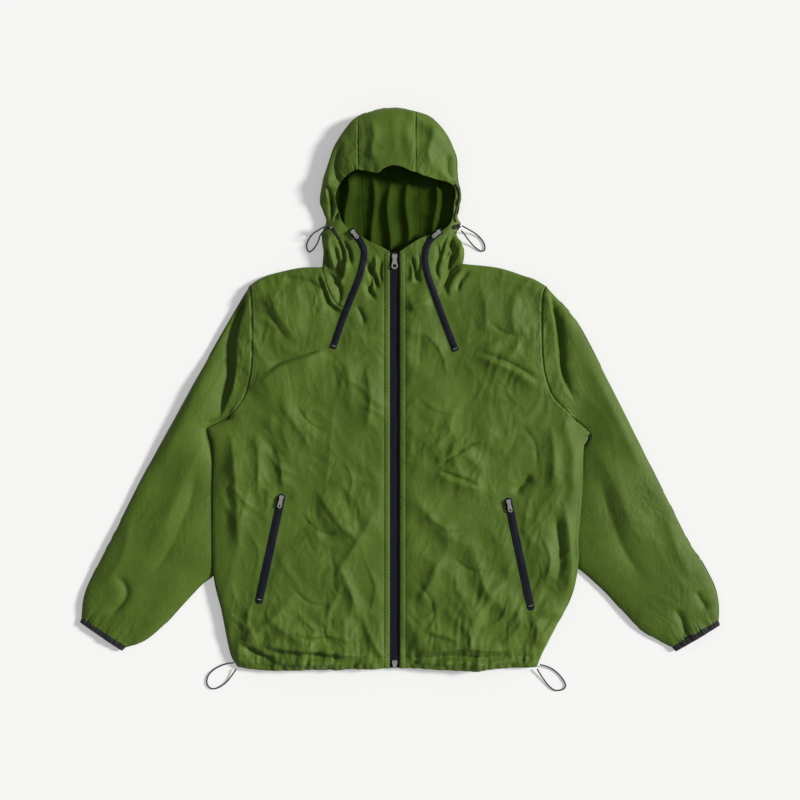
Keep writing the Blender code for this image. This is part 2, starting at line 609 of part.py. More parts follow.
panels = []
panels.append(shell("back", [(b, k == 0) for k, b in enumerate(back())], CLOTH))
for side in ("left", "right"):
    inner_block, wing = front(side)
    panels.append(shell("front_" + side, [(inner_block, False), (wing, False)], CLOTH))
for side in ("left", "right"):
    upper, lower = (away(g, GAP / 2) for g in sleeve(side))
    panels.append(shell("sleeve_" + side, tube_blocks(upper, lower), CLOTH))
    shell("cuff_" + side, tube_blocks(*cuff(side)), BINDING)
for side in ("left", "right"):
    panels.append(shell("hood_" + side, [(hood_side(side), False)], CLOTH))
panels.append(shell("hood_center", [(hood_center(), False)], CLOTH))

# ------------------------------------------------------------------ zips
TREES = []
for panel in panels:
    bm = bmesh.new()
    bm.from_mesh(panel.data)
    TREES.append(BVHTree.FromBMesh(bm))
    bm.free()

# zip strips on the panels, slider end first: x, y
VENT_ZIP = {
    "right": [(-86, 278), (-78, 268.5), (-67, 253), (-62, 235), (-70, 197), (-86, 157), (-101, 119), (-117, 71)],
    "left": [(73, 276), (64, 270), (50, 255), (44, 235), (46, 208), (59, 168), (77, 119), (97.5, 66)],
}
POCKET_ZIP = {
    "right": [(-205.5, -183), (-226, -278), (-247, -375)],
    "left": [(188, -190), (208, -287), (229.5, -386)],
}
VENT_HALF, POCKET_HALF = 5.6, 7.0
ZIP_THICK = 1.2
# slider: length, width, pull reach from its hinge, pull end radius, hole radius
SLIDERS = {
    "front_top": (13, 9.5, 15.0, 5.6, 3.4),
    "front_bottom": (12, 9.5, 5.5, 2.9, 1.1),
    "vent_right": (11, 8.0, 10.0, 3.2, 1.4), "vent_left": (11, 8.0, 10.0, 3.2, 1.4),
    "pocket_right": (11, 8.0, 13.5, 4.0, 1.9), "pocket_left": (11, 8.0, 13.5, 4.0, 1.9),
}
PLATE = 2.4           # slider body height
AXIS_UP = 1.0         # hinge line above the slider body


def drop(x, y):
    """Height of the uppermost panel under a plan point."""
    hits = [t.ray_cast(Vector((x * MM, y * MM, 1.0)), Vector((0, 0, -1)))[0] for t in TREES]
    tops = [h.z / MM for h in hits if h is not None]
    return max(tops) if tops else 0.0


def strip(name, rows, half, mat, count, lift=0.5, thick=ZIP_THICK):
    """A tape lying on the panels, square at both ends."""
    path = even(rows, count)
    along = np.gradient(path, axis=0)
    along /= np.linalg.norm(along, axis=1)[:, None]
    side = np.stack([-along[:, 1], along[:, 0]], axis=1)
    grid = path[:, None] + side[:, None] * np.array([-half, 0, half])[None, :, None]
    fine = np.linspace(0, count - 1, 4 * (count - 1) + 1)
    height = np.array([[drop(*(path[int(f)] + (path[min(int(f) + 1, count - 1)] - path[int(f)]) * (f % 1)
                               + side[int(round(f))] * k)) for k in (-half, -half / 2, 0, half / 2, half)]
                       for f in fine]).max(axis=1)
    z = np.array([height[max(0, 4 * i - 4):4 * i + 5].max() for i in range(count)]) + lift
    base = np.concatenate([grid, np.repeat(z[:, None, None], 3, axis=1)], axis=-1)
    top = base + [0, 0, thick]
    return shell(name, [((top, base), False)], mat), z + thick


def prism(loops, low, high):
    """Flat outline with holes, drawn up from low to high, as a bmesh in millimetres."""
    bm = bmesh.new()
    edges = []
    for loop in loops:
        ring = [bm.verts.new((x, y, low)) for x, y in loop]
        edges += [bm.edges.new((ring[i - 1], ring[i])) for i in range(len(ring))]
    filled = bmesh.ops.triangle_fill(bm, use_beauty=True, edges=edges)
    faces = [g for g in filled["geom"] if isinstance(g, bmesh.types.BMFace)]
    raised = bmesh.ops.extrude_face_region(bm, geom=faces)
    moved = [g for g in raised["geom"] if isinstance(g, bmesh.types.BMVert)]
    bmesh.ops.translate(bm, verts=moved, vec=(0, 0, high - low))
    bmesh.ops.recalc_face_normals(bm, faces=bm.faces)
    return bm


def arc(cx, cy, r, start, end, n):
    return [(cx + r * math.cos(math.radians(a)), cy + r * math.sin(math.radians(a)))
            for a in np.linspace(start, end, n)]


def to_object(bm, name, mat, spot, turn):
    """Place a millimetre bmesh drawn pointing down -Y at a spot, turned to the zip's direction."""
    c, s = math.cos(turn), math.sin(turn)
    for v in bm.verts:
        x, y, z = v.co
        v.co = Vector(((c * x - s * y) * MM, (s * x + c * y) * MM, z * MM))
    mesh = bpy.data.meshes.new(name)
    bm.to_mesh(mesh)
    bm.free()
    obj = bpy.data.objects.new(name, mesh)
    obj.location = [v * MM for v in spot]
    bpy.context.scene.collection.objects.link(obj)
    mesh.materials.append(mat)
    return obj


def slider(key, x, y, z, turn):
    """Slider body with its bridge, and the pull tab that hinges under the bridge."""
    length, width, reach, end, hole = SLIDERS[key]
    w, h = width / 2, length / 2
    body_loop = ([(-w * 0.62, -h), (w * 0.62, -h)] + [(w * 0.8, -h * 0.2), (w, h * 0.25), (w * 0.86, h * 0.8),
                 (w * 0.4, h), (0, h * 0.72), (-w * 0.4, h), (-w * 0.86, h * 0.8), (-w, h * 0.25), (-w * 0.8, -h * 0.2)])
    base = to_object(prism([body_loop], 0, PLATE), "slider_" + key, METAL, (x, y, z), turn)
    bridge = prism([[(-3.65, 0), (-2.75, 0), (-2.75, 2.3), (2.75, 2.3), (2.75, 0), (3.65, 0), (3.65, 2.6),
                     (3.1, 3.1), (-3.1, 3.1), (-3.65, 2.6)]], -1.1, 1.1)
    for v in bridge.verts:
        v.co = Vector((v.co.z, v.co.x, v.co.y + PLATE - (0.3 if v.co.y < 0.1 else 0)))
    bmesh.ops.recalc_face_normals(bridge, faces=bridge.faces)
    arch = to_object(bridge, "bridge", METAL, (x, y, z), turn)
    join = base.modifiers.new("join", "BOOLEAN")
    join.operation, join.solver, join.object = "UNION", "EXACT", arch
    bpy.context.view_layer.update()
    solid = bpy.data.meshes.new_from_object(base.evaluated_get(bpy.context.evaluated_depsgraph_get()))
    base.modifiers.clear()
    base.data = solid
    bpy.data.objects.remove(arch, do_unlink=True)
    pull = [[(-3.0, 0.6), (-3.0, -4.2)] + arc(0, -reach, end, 180, 360, 11) + [(3.0, -4.2), (3.0, 0.6)],
            [(-1.5, -0.6), (-1.5, -4.7), (1.5, -4.7), (1.5, -0.6)] if reach > 6 else
            [(-1.5, -0.6), (-1.5, -4.7), (1.5, -4.7), (1.5, -0.6)],
            arc(0, -reach, hole, 0, 330, 12)]
    if reach < 7:
        pull = pull[:2]
    return to_object(prism(pull, -0.5, 0.5), "pull_" + key, METAL, (x, y, z + PLATE + AXIS_UP), turn)


for side, sign in (("left", 1), ("right", -1)):
    edge = front(side)[0][0][:, 0]
    xs = ZIP_X + sign * np.array([GAP / 2, ZIP_HALF - 1.0, ZIP_HALF + TAPE_UNDER])
    rows = edge.copy()
    rows[0, 1], rows[-1, 1] = -486.5, 237.5
    top = np.stack([np.stack([np.full(len(rows), x), rows[:, 1], rows[:, 2] - WALL - 0.7], 1) for x in xs], 1)
    shell("zip_tape_" + side, [((top, top - [0, 0, 1.0]), False)], TAPE)
tape_top = lambda y: float(table(FRONT_EDGE, y)) - WALL - 0.7
slider("front_top", ZIP_X, 229.0, tape_top(236) + 0.35, 0.0)
slider("front_bottom", ZIP_X, -479.5, tape_top(-472) + 0.35, 0.0)
for side in ("left", "right"):
    rows = VENT_ZIP[side]
    _, top = strip("vent_zip_" + side, rows, VENT_HALF, TAPE, 26)
    at, ahead = even(rows, [0.035, 0.06])
    turn = math.atan2(ahead[0] - at[0], at[1] - ahead[1])
    slider("vent_" + side, at[0], at[1], top[:4].max() + 0.35, turn)
    rows = POCKET_ZIP[side]
    _, top = strip("pocket_zip_" + side, rows, POCKET_HALF, TAPE, 14)
    at, ahead = even(rows, [0.04, 0.2])
    turn = math.atan2(ahead[0] - at[0], at[1] - ahead[1])
    slider("pocket_" + side, at[0], at[1], top[:2].max() + 0.35, turn)

# ------------------------------------------------------------------ cords and locks
# routes by hand, x, y, z from the surface up
LOOPS = {
    "cord_hood_right": [(-131.5, 282, 27), (-137, 280, 23), (-143, 277, 15.5), (-151, 273, 7.5),
                        (-158, 266, 2.6), (-163.5, 255, 1.4), (-163, 246, 1.4), (-159, 240.5, 1.4),
                        (-152.5, 245, 1.6), (-147, 252, 4), (-142.5, 260, 10), (-139.8, 267, 18),
                        (-135, 272.5, 26), (-130, 276.5, 28)],
    "cord_hood_left": [(108.5, 284, 24), (114, 281.5, 19), (121, 278.5, 11), (130, 274, 4.5),
                       (139, 267, 1.6), (145.5, 259, 1.4), (149, 250, 1.4), (148, 243.5, 1.4),
                       (142.5, 242, 1.4), (135, 246, 1.6), (127, 253, 3.2), (119, 262, 9),
                       (112.5, 270, 17), (107, 276, 23)],
    "cord_hem_right": [(-291, -479.5, 7), (-301, -481, 4.4), (-313, -485, 1.8), (-326, -492, 1.4),
                       (-336, -502, 1.4), (-339, -514, 1.4), (-335, -523, 1.4), (-326, -526, 1.4),
                       (-314, -521.5, 1.4), (-303, -512.5, 1.6), (-294, -501, 3.2), (-287, -491, 5.4)],
    "cord_hem_left": [(245, -483, 7), (255, -485.5, 4.8), (266, -490.5, 2.0), (277, -499, 1.4),
                      (285.5, -509, 1.4), (290.5, -519, 1.4), (287.5, -526, 1.4), (278, -529, 1.4),
                      (268.5, -527, 1.4), (259.5, -519, 1.5), (250.5, -507, 2.6), (243.5, -496, 4.6),
                      (240.5, -490.5, 5.8)],
}


def cord(name, rows, step=6.0):
    smooth_path = curve(rows, np.linspace(0, len(rows) - 1, 20 * len(rows)))
    run = np.concatenate([[0], np.cumsum(np.linalg.norm(np.diff(smooth_path, axis=0), axis=1))])
    want = np.linspace(0, run[-1], int(run[-1] / step) + 1)
    pts = np.stack([np.interp(want, run, smooth_path[:, k]) for k in range(3)], 1)
    data = bpy.data.curves.new(name, "CURVE")
    data.dimensions = "3D"
    data.bevel_depth = CORD_D / 2 * MM
    data.bevel_resolution = 2
    data.use_fill_caps = True
    line = data.splines.new("POLY")
    line.points.add(len(pts) - 1)
    for point, (x, y, z) in zip(line.points, pts):
        point.co = (x * MM, y * MM, z * MM, 1)
    obj = bpy.data.objects.new(name, data)
    bpy.context.scene.collection.objects.link(obj)
    data.materials.append(CORD)
    return obj


def lock(name, spot, turn, radius=3.6, length=10.0):
    """Barrel cord lock lying on the cloth, its bore along the cord."""
    sections = [(-0.5, 0.72), (-0.36, 1.0), (0.36, 1.0), (0.5, 0.72)]
    bm = bmesh.new()
    rings = []
    for along, scale in sections:
        rings.append([bm.verts.new((radius * scale * math.cos(a), length * along, radius * scale * math.sin(a)))
                      for a in np.linspace(0, 2 * math.pi, 14, endpoint=False)])
    for a, b in zip(rings, rings[1:]):
        for i in range(14):
            bm.faces.new((a[i - 1], a[i], b[i], b[i - 1]))
    bm.faces.new(rings[0])
    bm.faces.new(rings[-1][::-1])
    bmesh.ops.recalc_face_normals(bm, faces=bm.faces)
    obj = to_object(bm, name, PLASTIC, spot, turn)
    for poly in obj.data.polygons:
        poly.use_smooth = len(poly.vertices) == 4
    return obj


for name, rows in LOOPS.items():
    cord(name, rows)
lock("lock_hood_right", (-124.5, 282.5, max(drop(-124.5, 282.5), drop(-121, 280), drop(-121, 285)) + 4.4), math.radians(62))
lock("lock_hood_left", (101.0, 283.5, max(drop(101, 283.5), drop(97, 281), drop(97, 286)) + 4.4), math.radians(-68))
face = [(96.5, 357), (101.5, 350), (104.0, 339), (101.0, 322), (97.5, 308), (96.0, 299), (98.0, 291.5)]
cord("cord_face_left", [(x, y, max(drop(x + a, y) for a in (-2, 0, 2)) + CORD_D / 2 + 0.9) for x, y in face])
_tab = strip("lock_tab_right", [(-117.5, 280), (-112, 271), (-106, 261)], 2.4, BINDING, 5, 0.6, 1.0)
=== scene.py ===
"""Hooded windbreaker laid flat: the visual model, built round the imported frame.

Tables are in millimetres, +Z up from the surface, +Y towards the hood, +X the wearer's left.
"""
import math
import bpy
import numpy as np
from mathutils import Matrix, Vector
from mathutils.bvhtree import BVHTree


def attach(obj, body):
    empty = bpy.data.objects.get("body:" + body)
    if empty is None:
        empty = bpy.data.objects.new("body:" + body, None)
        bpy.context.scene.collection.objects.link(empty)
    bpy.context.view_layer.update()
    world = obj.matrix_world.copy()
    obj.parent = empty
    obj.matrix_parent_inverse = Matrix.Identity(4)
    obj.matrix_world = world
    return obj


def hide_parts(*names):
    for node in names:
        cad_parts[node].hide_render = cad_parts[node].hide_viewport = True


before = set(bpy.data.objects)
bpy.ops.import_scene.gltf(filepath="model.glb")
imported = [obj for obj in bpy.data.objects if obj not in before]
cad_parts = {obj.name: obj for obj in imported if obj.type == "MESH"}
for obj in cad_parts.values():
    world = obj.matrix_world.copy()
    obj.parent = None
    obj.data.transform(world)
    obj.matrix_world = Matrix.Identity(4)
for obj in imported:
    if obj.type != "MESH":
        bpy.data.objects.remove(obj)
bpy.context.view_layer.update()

MM = 0.001
LOFT = 17.0           # height of the body's upper sheet
SLEEVE_LOFT = 14.0
ROLL_TOP = 24.0       # how far in from a fold the upper sheet levels out
ROLL_UNDER = 45.0
HOOD_ROLL_TOP = 22.0
HOOD_ROLL_UNDER = 34.0
ZIP_X = -9.3          # centre line of the front zip
ZIP_HALF = 8.6        # from there to the edge of a front panel
TAPE_DROP = 2.2       # the front zip's tapes lie this far below the cloth's edge
TAPE_UNDERLAP = 2.5   # and run this far in under it
PLACKET = 9.6         # width of the turned edge beside the front zip
CASING = 19.5         # height of the hem casing
BACK_X = -13.0        # centre line of the back
HOOD_BASE_Y = 206     # where the hood's back meets the neck
CROWN_SHARE = 0.83    # share of the way to the crown's rim that the hood's lower side seams go
CORD_D = 2.4
CORD_STEP = 2.0
CLOTH_THICK = 0.7     # folded edge of the cloth as it shows
SEAM = 0.06           # clearance between two sewn pieces
CUFF_MID = 5.2        # height of the cuffs' middle
LEAST_TOP = 4.5       # creases take the upper sheet no lower than this, or than its smooth form
TINY = 1e-6           # keeps a division from being by nothing


def add_object(name, data):
    obj = bpy.data.objects.new(name, data)
    bpy.context.scene.collection.objects.link(obj)
    return obj


def mesh_object(name, verts, faces, mats, smooth):
    mesh = bpy.data.meshes.new(name)
    mesh.from_pydata(verts, [], faces)
    mesh.validate()
    mesh.polygons.foreach_set("use_smooth", [smooth] * len(mesh.polygons))
    for mat in mats:
        mesh.materials.append(mat)
    return add_object(name, mesh)


# ------------------------------------------------------------------ camera
PHOTO_SPAN = 1.4      # width of the picture on the surface, m
CAMERA_UP = 3.2
CAMERA_Y = -0.0193
SHARP_Z = 0.010       # height at which the picture has its span, m
SENSOR = 36.0
cam_data = bpy.data.cameras.new("camera")
camera = add_object("camera", cam_data)
cam_data.sensor_width = SENSOR
cam_data.lens = SENSOR * (CAMERA_UP - SHARP_Z) / PHOTO_SPAN
camera.location = (0.0, CAMERA_Y, CAMERA_UP)
bpy.context.scene.camera = camera

# ------------------------------------------------------------------ tables
# side seam, hem to underarm: x, y, height of the fold
SIDE = {
    "right": [(-284, -487, 6), (-297, -462, 8), (-312, -389, 11), (-327, -317, 11),
              (-329, -194, 11), (-327, -107, 11), (-333, -84, 10), (-338, -68, 9)],
    "left": [(239, -486, 6), (261, -437, 8), (299, -365, 11), (312, -306, 11),
             (312, -263, 11), (319, -191, 11), (322, -103, 11), (333, -76, 9.5)],
}
# folded flap of cloth at the underarm, side seam to armhole: x, y, height of the fold
FLAP = {
    "right": [(-338, -68, 9), (-318, -58, 8.7), (-298, -48, 8.5)],
    "left": [(333, -76, 9.5), (322, -66, 9), (311, -57, 8.7)],
}
# armhole, underarm to shoulder: x, y
ARMHOLE = {
    "right": [(-298, -48), (-271, -12), (-259, 40), (-258, 103), (-259, 160), (-262, 182)],
    "left": [(311, -57), (285, -33), (264, -8), (250, 38), (247, 103), (248, 160), (255, 180)],
}
# shoulder seam, shoulder point to neck point: x, y, height of the fold
SHOULDER = {
    "right": [(-262, 182, 8), (-245, 193, 8), (-225, 201, 8), (-175, 212, 9), (-136, 213, 11)],
    "left": [(255, 180, 8), (240, 189, 8), (220, 197, 8), (172, 212, 9), (110, 219, 11)],
}
# neck seam on the upper sheet, neck point to the vent zip: x, y
NECK = {
    "right": [(-136, 213), (-130, 188), (-114, 152), (-93, 140)],
    "left": [(110, 219), (92, 206), (77, 180), (59, 168)],
}
# the line of the vent zip, carried down to the hem: x, y, height of the cloth
VENT = {
    "right": [(-132, -489, 11), (-131, -462, 15.5), (-130, -300, 17), (-128, -110, 17),
              (-122, 30, 17), (-116, 76, 17.2), (-101, 119, 18), (-93, 140, 19),
              (-86, 157, 20.5), (-70, 197, 24), (-62, 235, 27), (-67, 253, 26.5), (-80, 270, 25)],
    "left": [(114, -489, 11), (114, -462, 15.5), (113, -300, 17), (111, -110, 17),
             (105, 30, 17), (95, 76, 17.2), (77, 119, 18), (59, 168, 20.5),
             (54, 184, 22), (46, 208, 24.5), (44, 235, 27), (50, 255, 26.5), (67, 271, 24)],
}
JOIN_ROW = 7          # the VENT row where the neck seam meets it; row 3 is level with the underarm
# the front edge beside the zip: y, height of the cloth
FRONT_EDGE = [(-488, 14.5), (-462, 16.4), (-300, 17.5), (-60, 17.5), (30, 17.5), (90, 18), (150, 20.5),
              (200, 25), (238, 29)]
# free edge of the collar, vent zip to front zip: x, y
COLLAR = {
    "right": [(-80, 270), (-66, 264), (-50, 255), (-32, 247), (-18, 239)],
    "left": [(67, 271), (54, 269), (37, 263), (15, 250), (-0.7, 239)],
}
HEM = {
    "right": [(-18, -488), (-75, -489), (-132, -489), (-226, -492), (-284, -487)],
    "left": [(-0.7, -488), (60, -489), (114, -489), (185, -488), (239, -486)],
}
# sleeve sections, armhole to cuff: outer fold x, y, inner fold x, y, inner fold height
SLEEVE = {
    "right": [(-262, 182, -298, -48, 8.5), (-313, 95, -319, -56.5, 7.5), (-370, -7, -340, -66.5, 6.0),
              (-424, -105, -341, -84, 4.0), (-447, -147, -334, -104, 2.6), (-463, -178, -325, -132, 2.2),
              (-478, -208, -323, -170, 2.2), (-497, -246, -323, -214, 2.2), (-520, -290, -322, -268, 2.2),
              (-540, -330, -325, -317, 2.6), (-550, -353, -351, -344, 4.5), (-555, -372, -380, -377, 5.0),
              (-556.5, -386, -413, -413, 5.0), (-557, -394, -447, -441, 5.0),
              (-557.5, -400, -480, -452, 5.0)],
    "left": [(255, 180, 311, -57, 8.7), (310, 117, 324, -65.5, 7.5), (365, 13, 336, -76, 6.0),
             (415, -87, 335, -92, 4.0), (440, -137, 326.5, -110, 2.6), (458, -173, 317, -136, 2.2),
             (474, -204, 313.5, -170, 2.2), (490, -236, 311, -208, 2.2), (508, -271, 305.5, -256, 2.2),
             (527, -299, 309, -303, 2.6), (541, -324, 333, -329, 4.5), (551, -345, 361, -357, 5.0),
             (556.5, -366, 390, -389, 5.0), (558.5, -386, 425, -424, 5.0),
             (558, -405, 476, -452, 5.0)],
}
# far end of the cuff binding: outer fold x, y, inner fold x, y
CUFF_END = {"right": (-561, -408.5, -487, -459), "left": (561, -413.5, 483, -460)}
# the hood's outline, wearer's left neck point over the crown to the right one: x, y, fold height
HOOD_RIM = [(110, 219, 11), (112, 231, 12), (112, 244, 13), (106, 257, 13), (99, 270, 12.5),
            (103, 280, 12), (106, 288, 12), (101, 301, 12.5), (104, 320, 14), (107, 340, 15),
            (102, 360, 17), (100, 378, 18.5), (98, 406, 20), (83, 442, 21), (56, 473, 22), (27, 484, 22),
            (-20, 490, 22), (-73, 476, 22), (-93, 457, 22), (-114, 425, 21), (-124, 398, 19.5),
            (-132, 373, 18), (-137, 350, 16), (-140, 329, 15), (-134, 311, 13.5), (-129, 294, 12.5),
            (-133, 282, 12.5), (-137, 270, 13), (-136, 256, 13), (-134, 240, 12.5), (-135, 226, 12),
            (-136, 213, 11)]
# upper edge of the hood's side panels, matched row for row to their half of HOOD_RIM: x, y, height.
# It climbs the vent zip, passes the cord lock, follows the face opening and then the brow.
HOOD_EDGE = {
    "left": [(59, 168, 20.5), (54, 184, 22), (46, 208, 24.5), (44, 235, 27), (50, 255, 26.5),
             (67, 271, 24), (84, 284, 20), (91, 297, 18), (94, 318, 18), (97, 338, 18.5), (95, 352, 20),
             (84, 360, 24), (66, 364, 31), (46, 369, 36), (34, 373, 39), (27, 376, 40)],
    "right": [(-93, 140, 19), (-86, 157, 20.5), (-70, 197, 24), (-62, 235, 27), (-67, 253, 26.5),
              (-80, 270, 25), (-99, 289, 21), (-106, 306, 21), (-113, 329, 21.5), (-110, 346, 23),
              (-103, 361, 26), (-92, 372, 29), (-83, 378, 32), (-77, 380, 34), (-73, 381, 35)],
}
# brow of the centre strip, wearer's left seam to right seam: x, y, height
BROW = [(27, 376, 40), (17, 378, 42), (2, 385, 43.5), (-14, 387, 44), (-28, 382, 43), (-39, 374, 41),
        (-57, 378, 38), (-73, 381, 35)]
# lower seam between the centre strip and a side: x at the neck, x at the crown
UNDER_SEAM = {"left": (36, 27), "right": (-62, -73)}
BACK_NECK = [(110, 219), (80, 211), (36, 206), (-13, 205), (-62, 206), (-100, 208), (-136, 213)]
# upper seams between the centre strip and each side of the hood: x
STRIP_X = {"right": -73, "left": 27}

# zip strips on the panels, slider end first: x, y
VENT_ZIP = {
    "right": [(-86, 278), (-78, 268.5), (-67, 253), (-62, 235), (-70, 197), (-86, 157), (-101, 119),
              (-117, 71)],
    "left": [(73, 276), (64, 270), (50, 255), (44, 235), (46, 208), (59, 168), (77, 119), (97.5, 66)],
}
POCKET_ZIP = {
    "right": [(-205.5, -183), (-226, -278), (-247, -375)],
    "left": [(188, -190), (208, -287), (229.5, -386)],
}
# drawcord loops: x, y, height
LOOPS = {
    "cord_hood_right": [(-131.5, 282, 27), (-137, 280, 23), (-143, 277, 15.5), (-151, 273, 7.5),
                        (-158, 266, 2.6), (-163.5, 255, 1.4), (-163, 246, 1.4), (-159, 240.5, 1.4),
                        (-152.5, 245, 1.6), (-147, 252, 4), (-142.5, 260, 10), (-139.8, 267, 18),
                        (-135, 272.5, 26), (-130, 276.5, 28)],
    "cord_hood_left": [(108.5, 284, 24), (114, 281.5, 19), (121, 278.5, 11), (130, 274, 4.5),
                       (139, 267, 1.6), (145.5, 259, 1.4), (149, 250, 1.4), (148, 243.5, 1.4),
                       (142.5, 242, 1.4), (135, 246, 1.6), (127, 253, 3.2), (119, 262, 9),
                       (112.5, 270, 17), (107, 276, 23)],
    "cord_hem_right": [(-291, -479.5, 7), (-301, -481, 4.4), (-313, -485, 1.8), (-326, -492, 1.4),
                       (-336, -502, 1.4), (-339, -514, 1.4), (-335, -523, 1.4), (-326, -526, 1.4),
                       (-314, -521.5, 1.4), (-303, -512.5, 1.6), (-294, -501, 3.2), (-287, -491, 5.4)],
    "cord_hem_left": [(245, -483, 7), (255, -485.5, 4.8), (266, -490.5, 2.0), (277, -499, 1.4),
                      (285.5, -509, 1.4), (290.5, -519, 1.4), (287.5, -526, 1.4), (278, -529, 1.4),
                      (268.5, -527, 1.4), (259.5, -519, 1.5), (250.5, -507, 2.6), (243.5, -496, 4.6),
                      (240.5, -490.5, 5.8)],
}
# drawcord along the hood's face edge on the wearer's left: x, y
FACE_CORD = [(96.5, 357), (101.5, 350), (104, 339), (101, 322), (97.5, 308), (96, 299), (98, 291.5)]
# rings of the cord locks: x, y, z in metres, turn in degrees
LOCK_RINGS = {"right": ((-0.1245, 0.2825, 0.024621), 62), "left": ((0.101, 0.2835, 0.021665), -68)}


def plan(rows):
    return [row[:2] for row in rows]


# ------------------------------------------------------------------ curves
def curve(rows, t):
    """Catmull-Rom through the rows; t counts rows, 0 to len(rows)-1."""
    pts = np.array(rows, float)
    t = np.clip(np.asarray(t, float), 0, len(pts) - 1)
    i = np.minimum(t.astype(int), len(pts) - 2)
    f = (t - i)[..., None]
    last = len(pts) - 1
    ends = 2 * pts[0] - pts[1], 2 * pts[-1] - pts[-2]
    padded = np.vstack([ends[0], pts, ends[1]])
    a, b, c, d = padded[i], padded[i + 1], padded[i + 2], padded[np.minimum(i + 3, last + 2)]
    return 0.5 * (2 * b + (c - a) * f + (2 * a - 5 * b + 4 * c - d) * f ** 2
                  + (3 * b - a - 3 * c + d) * f ** 3)


def run_of(pts):
    """Length run up to each point of a path."""
    return np.concatenate([[0], np.cumsum(np.linalg.norm(np.diff(pts, axis=0), axis=1))])


def at_run(pts, run, want):
    """Points of a path where its run has the wanted values."""
    return np.stack([np.interp(want, run, pts[:, k]) for k in range(pts.shape[1])], axis=-1)


def even(rows, n):
    """n points, or points at the given shares, at equal steps of length along the rows' curve."""
    fine = curve(rows, np.linspace(0, len(rows) - 1, 24 * len(rows)))
    run = run_of(fine[:, :2])
    want = np.linspace(0, run[-1], n) if isinstance(n, int) else np.asarray(n) * run[-1]
    return at_run(fine, run, want)


def table(rows, key, value=1):
    pts = np.array(rows, float)
    return np.interp(key, pts[:, 0], pts[:, value])


def smoothstep(t):
    t = np.clip(t, 0, 1)
    return t * t * (3 - 2 * t)


def roll(t):
    """Quarter round: 0 at the fold, 1 where the sheet has levelled out."""
    return np.sqrt(np.clip(1 - (1 - np.clip(t, 0, 1)) ** 2, 0, 1))


def nearest(pts, xy):
    """Distance, signed side, place along (mm), index and share of the nearest point of a path."""
    flat = np.asarray(xy, float).reshape(-1, 2)
    a, seg = pts[:-1, :2], np.diff(pts[:, :2], axis=0)
    size2 = (seg ** 2).sum(-1)
    run = np.concatenate([[0], np.cumsum(np.sqrt(size2))])
    best = np.full(len(flat), 1e9)
    k = np.zeros(len(flat), int)
    f = np.zeros(len(flat))
    for j in range(len(a)):
        rx, ry = flat[:, 0] - a[j, 0], flat[:, 1] - a[j, 1]
        t = np.clip((rx * seg[j, 0] + ry * seg[j, 1]) / size2[j], 0, 1)
        d = (rx - t * seg[j, 0]) ** 2 + (ry - t * seg[j, 1]) ** 2
        hit = d < best
        best[hit], k[hit], f[hit] = d[hit], j, t[hit]
    rel = flat - a[k]
    side = np.sign(seg[k, 0] * rel[:, 1] - seg[k, 1] * rel[:, 0])
    shape = np.asarray(xy).shape[:-1]
    along = run[k] + f * np.sqrt(size2[k])
    return [v.reshape(shape) for v in (np.sqrt(best), side, along, k, f)]


class Fold:
    """A folded edge in plan: distance of each point and the fold's height there."""

    def __init__(self, rows):
        self.pts = even(rows, 90)

    def at(self, xy):
        dist, _, _, k, f = nearest(self.pts, xy)
        height = self.pts[k, 2] * (1 - f) + self.pts[k + 1, 2] * f
        return np.maximum(dist - 0.3, 0), height


def lift(xy, low, high, sin):
    """Heights from low, at a fold, to high, where the sheet has levelled out."""
    return np.concatenate([xy, (low + (high - low) * sin)[..., None]], axis=-1)


# ------------------------------------------------------------------ noise
RNG = np.random.RandomState(7)
LATTICE = RNG.rand(256, 256) * 2 * math.pi


def noise(x, y, seed=0):
    """Smooth gradient noise, about -0.7 to 0.7, cells one unit wide."""
    x, y = x + 17.3 * seed, y + 9.1 * seed
    i, j = np.floor(x).astype(int), np.floor(y).astype(int)
    fx, fy = x - i, y - j
    out = 0.0
    wx, wy = fx ** 3 * (fx * (6 * fx - 15) + 10), fy ** 3 * (fy * (6 * fy - 15) + 10)
    for dx in (0, 1):
        for dy in (0, 1):
            g = LATTICE[(i + dx) % 256, (j + dy) % 256]
            dot = np.cos(g) * (fx - dx) + np.sin(g) * (fy - dy)
            out = out + dot * (wx if dx else 1 - wx) * (wy if dy else 1 - wy)
    return out


def crinkle(xy, size, stretch, angle, seed):
    """Sharp-crested creases between smooth patches, mean near 0; size in mm, longer along angle."""
    c, s = math.cos(math.radians(angle)), math.sin(math.radians(angle))
    u = (xy[..., 0] * c + xy[..., 1] * s) / (size * stretch)
    v = (-xy[..., 0] * s + xy[..., 1] * c) / size
    wu, wv = noise(u * 0.7, v * 0.7, seed + 3), noise(u * 0.7 + 40, v * 0.7, seed + 5)
    n = noise(u + 1.1 * wu, v + 1.1 * wv, seed)
    return 0.30 - np.minimum(np.sqrt(n * n + 0.0004), 0.6)


def layers(xy, rows):
    return sum(height * crinkle(xy, *shape) for height, *shape in rows)


